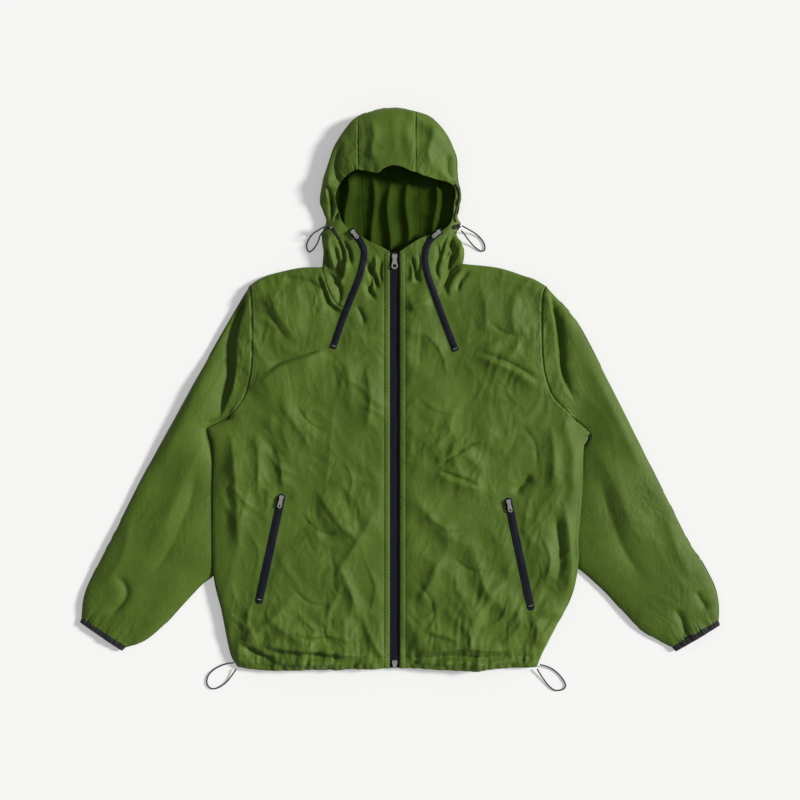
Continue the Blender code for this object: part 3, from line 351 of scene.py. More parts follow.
# layers of crinkle in each part: height, size, stretch, angle, seed
CRINKLES = {
    "body_left": [(11.0, 96, 1.5, 118, 21), (5.2, 46, 1.7, 60, 2), (2.3, 20, 1.8, 84, 9)],
    "body_right": [(10.0, 96, 1.5, 58, 1), (5.0, 46, 1.7, 122, 22), (2.3, 20, 1.8, 96, 9)],
    "arm_left": [(5.0, 92, 2.0, -60, 3), (1.5, 38, 1.9, -40, 4), (0.5, 16, 1.6, -50, 13)],
    "arm_right": [(5.0, 92, 2.0, -120, 5), (1.5, 38, 1.9, -140, 6), (0.5, 16, 1.6, -130, 14)],
    "under": [(3.4, 60, 1.8, 75, 15), (1.8, 26, 1.6, 20, 16)],
}
FINE_CRINKLE = (10, 1.5, 80, 8)
CREASE_GAIN = 2.5     # the heights in CREASES are multiplied by this, and by less on the arms
ARM_LOSS = 0.7
INNER_GAIN = 1.9

# ------------------------------------------------------------------ creases laid one by one
# ridges (+) and troughs (-) of the upper sheet: height, width on the left and on the right of the
# way the points run, points x, y. They fade towards both ends.
CREASES = [
    # wearer's right chest
    (4.2, 60, 20, [(-122, 68), (-165, 52), (-209, 36), (-240, 12), (-268, -14)]),
    (3.6, 60, 16, [(-232, 186), (-219, 147), (-200, 112), (-172, 70)]),
    (-3.0, 7, 10, [(-212, 192), (-172, 189), (-140, 178), (-130, 168)]),
    (-4.5, 4, 8, [(-131, 176), (-126, 152), (-112, 139), (-100, 134)]),
    (-5.5, 4, 5, [(-56, 222), (-45, 198), (-38, 172)]),
    (-3.5, 4, 5, [(-61, 192), (-53, 171), (-42, 155)]),
    (-2.0, 5, 6, [(-78, 148), (-66, 128), (-62, 108)]),
    (2.6, 34, 16, [(-208, -10), (-191, -49), (-165, -87), (-150, -120)]),
    (2.2, 26, 14, [(-96, 60), (-88, 10), (-92, -50)]),
    (2.0, 18, 12, [(-60, 40), (-52, -20), (-60, -80)]),
    # wearer's right, below
    (3.0, 26, 14, [(-297, -60), (-290, -130), (-285, -210), (-280, -300)]),
    (2.4, 18, 12, [(-252, -70), (-246, -130), (-250, -190)]),
    (2.2, 16, 12, [(-218, -90), (-206, -150), (-200, -205)]),
    (2.6, 30, 14, [(-150, -170), (-120, -215), (-92, -250), (-61, -262)]),
    (2.4, 22, 12, [(-40, -200), (-60, -245), (-96, -300), (-120, -340)]),
    (2.8, 26, 14, [(-238, -382), (-215, -410), (-180, -436), (-140, -450)]),
    (-4.0, 6, 10, [(-282, -446), (-262, -456), (-236, -468), (-214, -476)]),
    (2.4, 20, 12, [(-262, -380), (-268, -415), (-262, -446)]),
    (2.0, 20, 12, [(-110, -300), (-84, -360), (-70, -420)]),
    (3.2, 12, 6, [(-252, -440), (-205, -452), (-150, -456), (-90, -463), (-40, -470)]),
    (-2.6, 5, 6, [(-246, -452), (-200, -462), (-140, -465), (-100, -471)]),
    (2.4, 8, 5, [(-232, -470), (-190, -477), (-140, -478), (-80, -480)]),
    (2.0, 12, 6, [(-200, -418), (-160, -430), (-120, -430), (-84, -444)]),
    (3.0, 12, 6, [(20, -462), (70, -456), (120, -452), (170, -455), (214, -448)]),
    (-2.4, 5, 6, [(30, -470), (90, -466), (150, -468), (206, -462)]),
    (2.2, 8, 5, [(40, -480), (100, -477), (160, -479), (214, -474)]),
    (2.2, 12, 6, [(40, -420), (84, -432), (104, -444)]),
    # wearer's left chest
    (-5.0, 5, 5, [(94, 236), (88, 214), (85, 196)]),
    (-3.4, 5, 8, [(112, 222), (92, 208), (77, 178), (66, 160)]),
    (-4.2, 4, 6, [(20, 232), (26, 205), (33, 182)]),
    (2.6, 14, 12, [(14, 138), (34, 148), (58, 150)]),
    (3.0, 50, 18, [(120, 60), (170, 44), (214, 20), (250, -10)]),
    (2.4, 34, 18, [(140, 190), (150, 140), (148, 90)]),
    (2.2, 30, 16, [(205, 178), (196, 130), (204, 80)]),
    (3.0, 44, 18, [(62, -140), (100, -112), (146, -88), (180, -80)]),
    (2.6, 40, 14, [(62, -140), (92, -160), (150, -176)]),
    (2.4, 20, 18, [(285, -40), (300, -110), (306, -190)]),
    (2.2, 16, 14, [(262, -60), (268, -120), (262, -180)]),
    # wearer's left, below
    (-3.4, 10, 12, [(196, -188), (212, -168), (232, -150)]),
    (3.6, 34, 14, [(112, -462), (138, -410), (166, -356), (184, -320)]),
    (-3.0, 10, 16, [(122, -452), (150, -394), (178, -340)]),
    (3.0, 26, 14, [(66, -300), (52, -340), (28, -376)]),
    (3.2, 18, 16, [(284, -190), (294, -250), (300, -310), (286, -372)]),
    (-2.6, 10, 12, [(270, -210), (280, -280), (274, -340)]),
    (2.4, 22, 12, [(228, -392), (240, -420), (236, -452)]),
    (2.4, 18, 12, [(222, -394), (200, -424), (176, -450)]),
    (2.2, 30, 16, [(20, -180), (60, -230), (104, -262)]),
    # narrow creases that light nylon keeps, both fronts
    (-3.0, 4, 10, [(-120, 75), (-165, 61), (-209, 46), (-240, 24)]),
    (-0.9, 3, 7, [(-236, 150), (-214, 110), (-196, 84)]),
    (0.7, 7, 3, [(-236, -104), (-212, -136), (-176, -152)]),
    (-0.7, 3, 6, [(-184, -24), (-160, -58), (-128, -76)]),
    (0.7, 6, 3, [(-100, -120), (-84, -156), (-92, -196)]),
    (-0.8, 3, 6, [(-176, -214), (-144, -246), (-104, -258)]),
    (0.7, 7, 3, [(-262, -250), (-246, -290), (-256, -336)]),
    (-0.9, 3, 7, [(-196, -340), (-160, -372), (-112, -384)]),
    (0.7, 7, 3, [(-60, -300), (-44, -346), (-54, -400)]),
    (0.8, 7, 3, [(-176, -392), (-150, -418), (-108, -424)]),
    (-2.8, 9, 4, [(124, 66), (170, 52), (214, 32), (246, 8)]),
    (-3.0, 3, 7, [(62, -140), (84, -122), (110, -104), (142, -90)]),
    (-2.4, 3, 7, [(62, -140), (96, -152), (144, -170)]),
    (0.8, 7, 3, [(40, 100), (70, 66), (82, 20)]),
    (-0.8, 3, 6, [(150, 120), (186, 96), (226, 92)]),
    (0.7, 6, 3, [(30, -10), (64, -36), (112, -44)]),
    (-0.8, 3, 6, [(210, -60), (236, -96), (240, -146)]),
    (0.8, 7, 3, [(40, -216), (84, -244), (132, -240)]),
    (-0.9, 3, 7, [(86, -290), (124, -316), (166, -318)]),
    (0.9, 7, 3, [(244, -250), (262, -296), (252, -340)]),
    (-0.9, 3, 7, [(24, -330), (54, -368), (60, -412)]),
    (0.9, 8, 3, [(190, -360), (176, -400), (132, -424)]),
    (-0.9, 3, 7, [(270, -390), (244, -424), (204, -436)]),
    # sleeves: the fold beside each armhole, then the soft creases along the arm
    (-9.0, 2.8, 26, [(-262, 186), (-268, 166), (-280, 128), (-288, 91), (-290.5, 44), (-295, 9),
                     (-307, -24), (-317, -54), (-320, -64)]),
    (-4.5, 3, 3.5, [(-342, -60), (-334, -58), (-300, -50), (-294, -49)]),
    (-6.0, 14, 3.0, [(255, 184), (264, 160), (273, 121), (279, 70), (282, 33), (292, 4), (308, -28)]),
    (3.4, 40, 26, [(-318, 60), (-352, 0), (-392, -84), (-424, -150)]),
    (3.0, 44, 26, [(-330, -60), (-372, -150), (-408, -230), (-452, -300)]),
    (-2.6, 16, 22, [(-352, -120), (-368, -200), (-398, -270), (-440, -340)]),
    (2.6, 30, 18, [(-470, -220), (-484, -290), (-520, -350)]),
    (-3.4, 10, 12, [(-500, -318), (-478, -352), (-492, -382), (-520, -398)]),
    (3.2, 40, 26, [(318, 64), (352, 2), (392, -80), (430, -160)]),
    (2.8, 40, 26, [(330, -80), (372, -160), (410, -244), (448, -300)]),
    (-2.8, 18, 20, [(346, -140), (366, -216), (396, -290), (440, -350)]),
    (2.6, 28, 18, [(462, -214), (486, -286), (516, -340)]),
    (-3.2, 9, 10, [(476, -380), (492, -402), (502, -442)]),
    (-2.6, 8, 10, [(514, -350), (528, -372), (540, -388)]),
    # hood: sharp folds drawn in towards the cord locks and the neck
    (-3.6, 3.5, 6, [(-124, 284), (-120, 316), (-124, 344), (-128, 362)]),
    (-3.4, 3.5, 6, [(-118, 288), (-104, 318), (-100, 344)]),
    (3.0, 6, 5, [(-122, 276), (-124, 250), (-118, 226), (-110, 204)]),
    (-3.6, 3.5, 6, [(-112, 268), (-100, 240), (-98, 212), (-104, 186)]),
    (-3.4, 3, 5, [(-100, 262), (-88, 240), (-84, 214)]),
    (-3.0, 3, 5, [(-128, 250), (-128, 228), (-122, 206)]),
    (2.6, 5, 5, [(-92, 230), (-96, 204), (-106, 176)]),
    (-3.2, 3, 5, [(-66, 232), (-52, 208), (-50, 184), (-56, 160)]),
    (-2.6, 3, 4, [(-30, 226), (-34, 204), (-30, 180)]),
    (2.6, 5, 5, [(-44, 236), (-42, 214), (-48, 190)]),
    (-3.6, 3.5, 6, [(99, 282), (92, 258), (96, 232), (88, 214)]),
    (-3.2, 3, 5, [(86, 276), (76, 250), (72, 226)]),
    (3.0, 6, 5, [(104, 268), (104, 246), (98, 226)]),
    (-3.4, 3, 6, [(64, 258), (70, 232), (64, 208), (70, 186)]),
    (-3.0, 3, 5, [(100, 290), (100, 312), (96, 334)]),
    (-2.8, 3, 5, [(30, 240), (36, 222), (32, 200), (38, 180)]),
    (2.4, 5, 5, [(18, 226), (22, 204), (18, 182)]),
    (-3.2, 3.5, 6, [(110, 216), (92, 198), (82, 176), (84, 158)]),
    (-3.0, 3.5, 6, [(-128, 206), (-108, 184), (-104, 160), (-112, 140)]),
    (-2.6, 3, 6, [(-146, 200), (-134, 180), (-132, 158)]),
    (-2.6, 3, 6, [(124, 208), (108, 190), (100, 166)]),
    (3.6, 26, 16, [(-5, 482), (-12, 456), (-9, 424), (-16, 396)]),
    (2.6, 18, 12, [(52, 470), (56, 440), (48, 410), (56, 382)]),
    (2.4, 16, 12, [(-50, 470), (-44, 440), (-48, 412), (-40, 388)]),
    (-3.0, 7, 9, [(-96, 350), (-112, 372), (-112, 402), (-98, 430)]),
    (2.4, 14, 10, [(-128, 320), (-124, 352), (-122, 384)]),
    (-2.6, 7, 9, [(92, 362), (84, 384), (86, 412)]),
    (-3.4, 6, 9, [(-118, 262), (-112, 234), (-104, 206), (-96, 180)]),
    (-2.8, 6, 9, [(92, 262), (86, 240), (78, 222)]),
]
# folds of the hood's inner back, seen through the face opening: height, widths, points
INNER_CREASES = [
    (7.0, 16, 10, [(-92, 240), (-96, 300), (-88, 350), (-94, 400)]),
    (6.0, 12, 12, [(-20, 210), (-16, 260), (-22, 320), (-10, 380)]),
    (5.0, 12, 9, [(8, 214), (16, 270), (10, 330), (20, 392)]),
    (5.0, 12, 9, [(62, 225), (58, 280), (66, 330), (60, 390)]),
    (4.0, 9, 9, [(-48, 208), (-50, 270), (-44, 340), (-52, 400)]),
]
# seams and stitch lines pressed into the upper sheet: depth, half width, points
SEAMS = []
for side, outward in (("right", -1), ("left", 1)):
    placket_x = ZIP_X + outward * (ZIP_HALF + 8.0)
    SEAMS += [(1.5, 1.6, ARMHOLE[side]),
              (1.2, 1.6, NECK[side]),
              (1.0, 1.4, [(STRIP_X[side], y) for y in (378, 410, 440, 480)]),
              (1.6, 2.2, [(x, y + CASING) for x, y in HEM[side]]),
              (0.9, 2.0, [(placket_x, y) for y in (-488, 0, 236)]),
              (0.9, 2.2, [(row[0], row[1] - 12) for row in SHOULDER[side][1:4]])]
# gathers: wave length, height, reach, edge points
GATHERS = [
    (9.0, 4.2, 15.0, [(-290, -471), (-226, -473), (-132, -470), (-18, -469)]),
    (9.0, 4.2, 15.0, [(-0.7, -469), (114, -470), (185, -469), (245, -467)]),
    (24.0, 6.5, 60.0, [(-290, -480), (-226, -481), (-132, -480), (-18, -479)]),
    (24.0, 6.5, 60.0, [(-0.7, -479), (114, -480), (185, -479), (245, -477)]),
    (9.0, 4.2, 34.0, [(-560, -404), (-480, -456)]),
    (9.0, 4.2, 34.0, [(560, -409), (478, -456)]),
    (10.0, 3.6, 34.0, plan(BROW)),
    (10.0, 2.4, 26.0, plan(HOOD_EDGE["right"][6:])),
    (10.0, 2.4, 26.0, plan(HOOD_EDGE["left"][6:])),
]
# puckers beside the sewn-in zips, then beside the front zip and the seams: wave length, height,
# reach, points
ZIP_PUCKERS = [
    (7.5, 0.8, 12.0, VENT_ZIP["right"]), (7.5, 0.8, 12.0, VENT_ZIP["left"]),
    (8.5, 0.8, 12.0, POCKET_ZIP["right"]), (8.5, 0.8, 12.0, POCKET_ZIP["left"]),
]
SEAM_PUCKERS = [
    (6.5, 1.3, 15.0, [(ZIP_X, y) for y in (-488, -300, -100, 100, 240)]),
    (8.0, 0.9, 12.0, ARMHOLE["right"]), (8.0, 0.9, 12.0, ARMHOLE["left"]),
    (8.0, 0.8, 12.0, [(STRIP_X["right"], y) for y in (378, 480)]),
    (8.0, 0.8, 12.0, [(STRIP_X["left"], y) for y in (376, 482)]),
]
# where a hard piece lies on the cloth, the cloth stays as the frame has it: x, y, reach
CALM = [(ZIP_X, 230, 16), (ZIP_X, -480, 12), (-82, 273, 15), (67, 272, 15), (-207, -193, 14),
        (190, -200, 14), (-124.5, 282.5, 11), (101, 283.5, 11)]


def add_near(xy, rows, count, reach_of, height_of):
    """Sum of height_of over the rows, each worked out only round its own path of count points."""
    flat = xy.reshape(-1, 2)
    out = np.zeros(len(flat))
    for n, row in enumerate(rows):
        pts, reach = even(row[-1], count), reach_of(row)
        inside = (flat > pts.min(axis=0) - reach) & (flat < pts.max(axis=0) + reach)
        use = np.where(inside.all(axis=1))[0]
        if len(use):
            out[use] += height_of(n, row, pts, flat[use])
    return out.reshape(xy.shape[:-1])


def strokes(xy, rows):
    """Sum of listed creases at plan points."""
    def height_of(n, row, pts, spots):
        height, left, right, _ = row
        dist, side, along, _, _ = nearest(pts, spots)
        length = np.linalg.norm(np.diff(pts, axis=0), axis=1).sum()
        end = 0.28 * length
        fade = smoothstep(along / end) * smoothstep((length - along) / end)
        t = dist / np.where(side > 0, left, right)
        return height * fade * np.exp(-(np.sqrt(t * t + 0.02) - 0.14) * 1.25 - 0.35 * t * t)
    return add_near(xy, rows, 16, lambda row: 3.2 * max(row[1], row[2]), height_of)


def edge_waves(xy, rows, seed):
    """Short folds that stand across an edge or a seam and die away from it."""
    def height_of(n, row, pts, spots):
        wave, height, reach, _ = row
        dist, side, along, _, _ = nearest(pts, spots)
        u, far = along / wave, dist / reach
        a = noise(u * 1.7, side * 3.1 + far * 0.8, seed + n)
        b = noise(u * 0.8, side * 3.1 + far * 0.6, seed + n + 31)
        ends = smoothstep(1 - np.maximum(dist - reach, 0) / reach)
        strength = 0.55 + 0.9 * np.abs(noise(along / 60.0, side * 5.0, seed + n + 77))
        crest = 0.30 - np.sqrt(a * a + 0.002)
        return height * strength * ends * (crest * np.exp(-far * 1.9) * 1.5 + b * np.exp(-far) * 0.9)
    return add_near(xy, rows, 40, lambda row: 3 * row[2], height_of)


def seam_marks(xy, rows):
    def height_of(n, row, pts, spots):
        return -row[0] * np.exp(-(nearest(pts, spots)[0] / row[1]) ** 2)
    return add_near(xy, rows, 30, lambda row: 6 * row[1], height_of)


def from_hard(xy):
    """Distance from the nearest slider or lock, less its own size."""
    return np.min([np.maximum(np.hypot(xy[..., 0] - x, xy[..., 1] - y) - reach * 0.5, 0)
                   for x, y, reach in CALM], axis=0)


def from_zips(xy):
    paths = [even(lines[side], 30) for lines in (VENT_ZIP, POCKET_ZIP) for side in ("right", "left")]
    return np.min([nearest(path, xy)[0] for path in paths], axis=0)


def upper_relief(xy, near):
    """How far the upper cloth stands proud of the frame's smooth form, mm."""
    x, y = xy[..., 0], xy[..., 1]
    arm = smoothstep((np.abs(x) - 285) / 40) * smoothstep((150 - y) / 60 + 0.4)
    hood = smoothstep((y - 215) / 30)
    chest = np.where(x > ZIP_X, layers(xy, CRINKLES["body_left"]), layers(xy, CRINKLES["body_right"]))
    arms = np.where(x > 0, layers(xy, CRINKLES["arm_left"]), layers(xy, CRINKLES["arm_right"]))
    rough = chest * (1 - arm) * (1 - 0.35 * hood) + arms * arm
    rough += crinkle(xy, *FINE_CRINKLE) * (0.3 + smoothstep(noise(x / 70, y / 70, 11) * 2 + 0.5))
    amount = 0.5 + 0.8 * smoothstep(noise(x / 120, y / 120, 12) * 1.6 + 0.5)
    low_part = smoothstep((-330 - y) / 110) * (1 - arm)
    out = rough * amount * (1 + np.where(x > 0, 0.9, 0.6) * low_part)
    out = out + (CREASE_GAIN - ARM_LOSS * arm) * strokes(xy, CREASES) + edge_waves(xy, GATHERS, 20)
    hard_far, zips = from_hard(xy), from_zips(xy)
    dome = (np.where(x < 0, 2.6, 4.2) * smoothstep(near / 85.0) - 1.2) * (1 - hood)
    out = out + dome * (1 - np.exp(-(hard_far / 70.0) ** 2)) * (1 - hood)
    out = out * (0.5 + 0.5 * smoothstep((zips - 7) / 20.0)) + edge_waves(xy, ZIP_PUCKERS, 50)
    near_zip = smoothstep((np.abs(x - ZIP_X) - ZIP_HALF) / 22.0)
    out = out * (0.22 + 0.78 * near_zip) + edge_waves(xy, SEAM_PUCKERS, 60)
    return (out + seam_marks(xy, SEAMS)) * (1 - np.exp(-(hard_far / 11.0) ** 2))


def under_relief(xy):
    """How far the under cloth stands up off the surface: never below it."""
    folds = INNER_GAIN * strokes(xy, INNER_CREASES)
    return np.maximum(layers(xy, CRINKLES["under"]), 0) + np.maximum(folds, 0)


# ------------------------------------------------------------------ the frame's smooth form
FOLDS = [Fold(rows[side]) for side in ("right", "left") for rows in (SIDE, FLAP, SHOULDER)]
RIM = Fold(HOOD_RIM)
RIM_ROWS = {"left": HOOD_RIM[:16], "right": HOOD_RIM[:16:-1]}
OUTLINES = [even(plan(rows[side]), 60) for side in ("right", "left") for rows in (SIDE, FLAP, SHOULDER)]
for side in ("right", "left"):
    OUTLINES.append(even(plan(SLEEVE[side]), 60))
    OUTLINES.append(even([row[2:4] for row in SLEEVE[side]], 60))
OUTLINES.append(even(plan(HOOD_RIM), 90))
# height of the upper sheet at the hem: y, height
HEM_RISE = [(-490, 11), (-462, 15.5), (-440, LOFT)]


def off_outline(xy, reach=16.0):
    """Distance from the garment's folded edges, and 0 on them to 1 away from them."""
    near = np.min([nearest(pts, xy)[0] for pts in OUTLINES], axis=0)
    return near, roll(near / reach)


def vent_height(xy):
    flat = xy.reshape(-1, 2)
    best, height = np.full(len(flat), 1e9), np.full(len(flat), LOFT)
    for name in ("right", "left"):
        pts = even(VENT[name], 90)
        near, _, _, k, f = nearest(pts, flat)
        own = pts[k, 2] * (1 - f) + pts[k + 1, 2] * f
        height = np.where(near < best, own, height)
        best = np.minimum(best, near)
    return height.reshape(xy.shape[:-1]), best.reshape(xy.shape[:-1])


def body(xy, upper):
    fields = [f.at(xy) for f in FOLDS]
    weights = [1 / (1e-3 + d) ** 4 for d, _ in fields]
    low = sum(w * h for w, (_, h) in zip(weights, fields)) / sum(weights)
    near = np.min([d for d, _ in fields], axis=0)
    if not upper:
        return lift(xy, low, 0.0, roll(near / ROLL_UNDER))
    high, off = vent_height(xy)
    hem = table(HEM_RISE, xy[..., 1])
    high = hem + (high - hem) * (1 - smoothstep(off / 70.0))
    return lift(xy, low, high, roll(near / ROLL_TOP))


def steps(start, stop, count, fold_share=0.0, fold_count=0, at_end=True):
    """Even steps that crowd towards a folded edge."""
    v = np.linspace(0, 1, fold_count + 1)[1:]
    edge = (1 - fold_share) + fold_share * (1 - (1 - v) ** 2)
    t = np.concatenate([np.linspace(0, 1 - fold_share, count), edge])
    if not at_end:
        t = 1 - t[::-1]
    return start + (stop - start) * t


ACROSS = np.concatenate([steps(0, 0.5, 36, 0.24, 12, False), steps(0.5, 1, 36, 0.24, 12)[1:]])
ACROSS_UNDER = np.concatenate([steps(0, 0.5, 16, 0.24, 12, False), steps(0.5, 1, 16, 0.24, 12)[1:]])
ROWS_TOP = np.concatenate([steps(0, 1, 150), steps(1, 2, 18)[1:], steps(2, 3, 84, 0.11, 13)[1:]])
ROWS_UNDER = np.concatenate([steps(0, 1, 62), steps(1, 2, 12)[1:], steps(2, 3, 40, 0.22, 12)[1:]])
NECK_COL = 0.30
COLS_TOP = np.concatenate([steps(0, NECK_COL, 26), steps(NECK_COL, 1, 54, 0.16, 13)[1:]])
BACK_COL = 0.45
COLS_UNDER = np.concatenate([steps(0, BACK_COL, 30), steps(BACK_COL, 1, 26, 0.3, 14)[1:]])


def by_part(values, parts):
    out = np.zeros((len(values), 2))
    for k, part in enumerate(parts):
        mine = (values >= k) & (values <= k + 1) if k == len(parts) - 1 else (values >= k) & (values < k + 1)
        if mine.any():
            out[mine] = even(part, values[mine] - k)[:, :2]
    return out


def seam_line(side, rows):
    return by_part(rows, [np.array(SIDE[side])[:, :2], np.array(FLAP[side])[:, :2], np.array(ARMHOLE[side])])


def vent_line(side, rows):
    low, high = np.array(VENT[side][:4]), np.array(VENT[side][3:JOIN_ROW + 1])
    share = np.interp(rows, [1, 2, 3], [0, 0.06, 1])
    return np.where(rows[:, None] <= 1, even(low, np.clip(rows, 0, 1)), even(high, share))[:, :2]


def coons(left, right, bottom, top, u, v):
    u, v = u[None, :, None], v[:, None, None]
    return ((1 - u) * left[:, None] + u * right[:, None] + (1 - v) * bottom[None] + v * top[None]
            - (1 - u) * (1 - v) * bottom[0] - u * (1 - v) * bottom[-1]
            - (1 - u) * v * top[0] - u * v * top[-1])


def half_body(side, rows, cols, line, neck, corner):
    shoulder = np.array(SHOULDER[side])[::-1, :2]
    first = cols <= corner
    top = np.vstack([even(neck, cols[first] / corner)[:, :2],
                     even(shoulder, (cols[~first] - corner) / (1 - corner))[:, :2]])
    path = even(HEM[side], 200)
    order = np.argsort(path[:, 0])
    x = line[0, 0] + (path[-1, 0] - line[0, 0]) * cols
    hem = np.stack([x, np.interp(x, path[order, 0], path[order, 1])], axis=1)
    hem[0] = line[0]
    return coons(line, seam_line(side, rows), hem, top, cols, rows / rows[-1])


def draw_in(grid, edges, amount=SEAM / 2):
    grid = grid.copy()
    for row, nxt, axis in edges:
        take, step = [slice(None)] * 2, [slice(None)] * 2
        take[axis], step[axis] = row, nxt
        move = grid[tuple(step)] - grid[tuple(take)]
        size = np.maximum(np.linalg.norm(move, axis=-1, keepdims=True), 1e-6)
        grid[tuple(take)] += move / size * np.minimum(amount, size * 0.4)
    return grid


def front(side, rows=ROWS_TOP, cols=COLS_TOP, tall=44, wide=44):
    neck = np.array(NECK[side])[::-1]
    block = half_body(side, rows, cols, vent_line(side, rows), neck, NECK_COL)
    edge_x = ZIP_X + (ZIP_HALF if side == "left" else -ZIP_HALF)
    climb = np.linspace(0, 1, tall + 1)[1:]
    rise = curve(VENT[side], JOIN_ROW + climb * (len(VENT[side]) - 1 - JOIN_ROW))
    outline = np.vstack([block[:, 0], rise[:, :2]])
    collar = even(np.array(COLLAR[side])[::-1], np.linspace(0, 1, wide + 1))
    y_join = outline[len(rows) - 1, 1]
    y_edge = np.concatenate([block[:, 0, 1], np.interp(climb, [0, 1], [y_join, collar[0, 1]])])
    y_edge[0] = -488
    s = np.linspace(0, 1, wide + 1)
    edge = np.stack([np.full(len(y_edge), edge_x), y_edge], axis=1)
    near = edge[:, None] * (1 - s)[None, :, None] + outline[:, None] * s[None, :, None]
    near[-1] = collar
    near[-1, -1] = outline[-1]
    bow = (s * (1 - s))[None, :, None]
    chord = near[-1] - (edge[-1] * (1 - s)[:, None] + outline[-1] * s[:, None])
    share = smoothstep(np.concatenate([np.zeros(len(rows)), climb]))
    near[:-1] += share[:-1, None, None] * chord[None] * np.minimum(bow * 8, 1)
    z_edge = table(FRONT_EDGE, near[:, 0, 1])
    wing = body(block, True)
    z_line = np.concatenate([wing[:, 0, 2], rise[:, 2]])
    z = z_edge[:, None] * (1 - s) + z_line[:, None] * s
    inner = np.concatenate([near, z[..., None]], axis=-1)
    wing[:, 0] = inner[:len(rows), -1]
    return [inner, draw_in(wing, [(-1, -2, 1)])]


def back(rows=ROWS_UNDER, cols=COLS_UNDER):
    blocks = []
    for side, neck in (("left", BACK_NECK[3::-1]), ("right", BACK_NECK[3:])):
        centre = np.stack([np.full(len(rows), BACK_X),
                           np.interp(rows, [0, 1, 2, 3], [-489, -110, -92, 205])], 1)
        grid = half_body(side, rows, cols, centre, np.array(neck), BACK_COL)
        grid = draw_in(body(grid, False), [(-1, -2, 1)])
        grid[:, 0, 0] = BACK_X
        blocks.append(grid)
    return blocks


ALONG = np.concatenate([steps(0, 1, 28), steps(1, 14, 180)[1:]])
TUCK = [0, 0, 5, 9, 8, 7, 7, 7, 7, 5, 2, 0, 0, 0, 0]     # how far a sleeve reaches in under the side
DIP = [0, 3.5, 4.5, 2]                                   # and down under the underarm flap
# along a sleeve, by row of SLEEVE: height of the outer fold, of the upper sheet, and the folds' size
OUTER_FOLD = [(0, 8), (3, 7), (11, 6), (14, 5.2)]
ARM_LOFT = [(0, LOFT), (3, SLEEVE_LOFT), (11, SLEEVE_LOFT), (13, 12), (14, 10.5)]
ARM_NOSE = [(0, 1), (10, 1), (14, 0.6)]


def sleeve(side, along, across, upper):
    table_rows = np.array(SLEEVE[side], float)
    table_rows[:, 2] += np.array(TUCK) * (1 if side == "right" else -1)
    table_rows[:len(DIP), 3] -= DIP
    rows = curve(table_rows, along)
    a, b = rows[:, None, 0:2], rows[:, None, 2:4]
    s = across[None, :, None]
    arm = even(np.array(ARMHOLE[side])[::-1], across)
    straight = arm[0] * (1 - across)[:, None] + arm[-1] * across[:, None]
    fade = 1 - smoothstep(along[:, None] / (0.7 + 3.3 * (1 - across ** 5))[None])
    grid = a * (1 - s) + b * s + (arm - straight)[None] * fade[..., None]
    heights = table(OUTER_FOLD, np.arange(len(table_rows)))
    dist_o, low_o = Fold(np.column_stack([table_rows[:, :2], heights])).at(grid)
    dist_i, low_i = Fold(table_rows[:, 2:5]).at(grid)
    loft = table(ARM_LOFT, along)
    nose = table(ARM_NOSE, along)[:, None]
    sin = (roll(dist_o / ((ROLL_TOP if upper else 30.0) * nose))
           * roll(dist_i / ((ROLL_UNDER if upper else 14.0) * nose)))
    share = smoothstep(np.broadcast_to(across[None, :], dist_o.shape))
    low = low_o * (1 - share) + low_i * share
    own = lift(grid, low, loft[:, None] if upper else 0.0, sin)
    at_arm = body(arm, upper)
    step = np.linalg.norm(grid - grid[:1], axis=-1)
    fade = 1 - smoothstep(step / (8 + 37 * np.clip(dist_i / 40, 0, 1)))
    own[..., 2] = own[..., 2] * (1 - fade) + at_arm[None, :, 2] * fade
    return own


def hood_sheet(grid, edge_z, share, upper):
    """Fold height, full height and how level the sheet is; share runs from the rim to the free edge."""
    dist, fold = RIM.at(grid)
    if not upper:
        return fold, 0.0, roll(dist / HOOD_ROLL_UNDER)
    rise = 0.62 + 0.38 * np.sin(share * math.pi / 2)
    return fold, fold + (edge_z - fold) * rise, roll(dist / HOOD_ROLL_TOP)


def hood_side(side, rows, t_under, t_top):
    rim_rows, edge_rows = RIM_ROWS[side], HOOD_EDGE[side]
    count = len(edge_rows)
    rim, edge = curve(rim_rows, rows), curve(edge_rows, rows)
    x_neck, _ = UNDER_SEAM[side]
    f = rows / (count - 1)
    y_rim = rim[-1, 1]
    y_under = HOOD_BASE_Y + (y_rim - HOOD_BASE_Y) * CROWN_SHARE * f
    lean = (y_under - HOOD_BASE_Y) / (y_rim - HOOD_BASE_Y)
    under = np.stack([x_neck + (rim[-1, 0] - x_neck) * lean, y_under], axis=1)
    neck = np.array(BACK_NECK)
    neck = neck[2::-1] if side == "left" else neck[4:]
    low_line = even(neck, t_under) - (under[0] * (1 - t_under)[:, None] + rim[0, :2] * t_under[:, None])
    top_line = even(NECK[side], t_top) - (rim[0, :2] * (1 - t_top)[:, None] + edge[0, :2] * t_top[:, None])
    fade = (1 - smoothstep(rows / 3.0))[:, None, None]
    s, t = t_under[None, :, None], t_top[None, :, None]
    low = under[:, None] * (1 - s) + rim[:, None, :2] * s + low_line[None] * fade
    top = rim[:, None, :2] * (1 - t) + edge[:, None, :2] * t + top_line[None] * fade
    parts = []
    for grid, upper in ((low, False), (top, True)):
        fold, high, sin = hood_sheet(grid, edge[:, None, 2], t_top[None], upper)
        if upper:
            sin = np.minimum(sin / np.maximum(sin[:, -1:], 0.35), 1)
        own = lift(grid, fold, high, sin)
        mix = (1 - smoothstep(rows / 2.2))[:, None]
        own[..., 2] = own[..., 2] * (1 - mix) + body(grid[0], upper)[None, :, 2] * mix
        parts.append(own)
    return parts


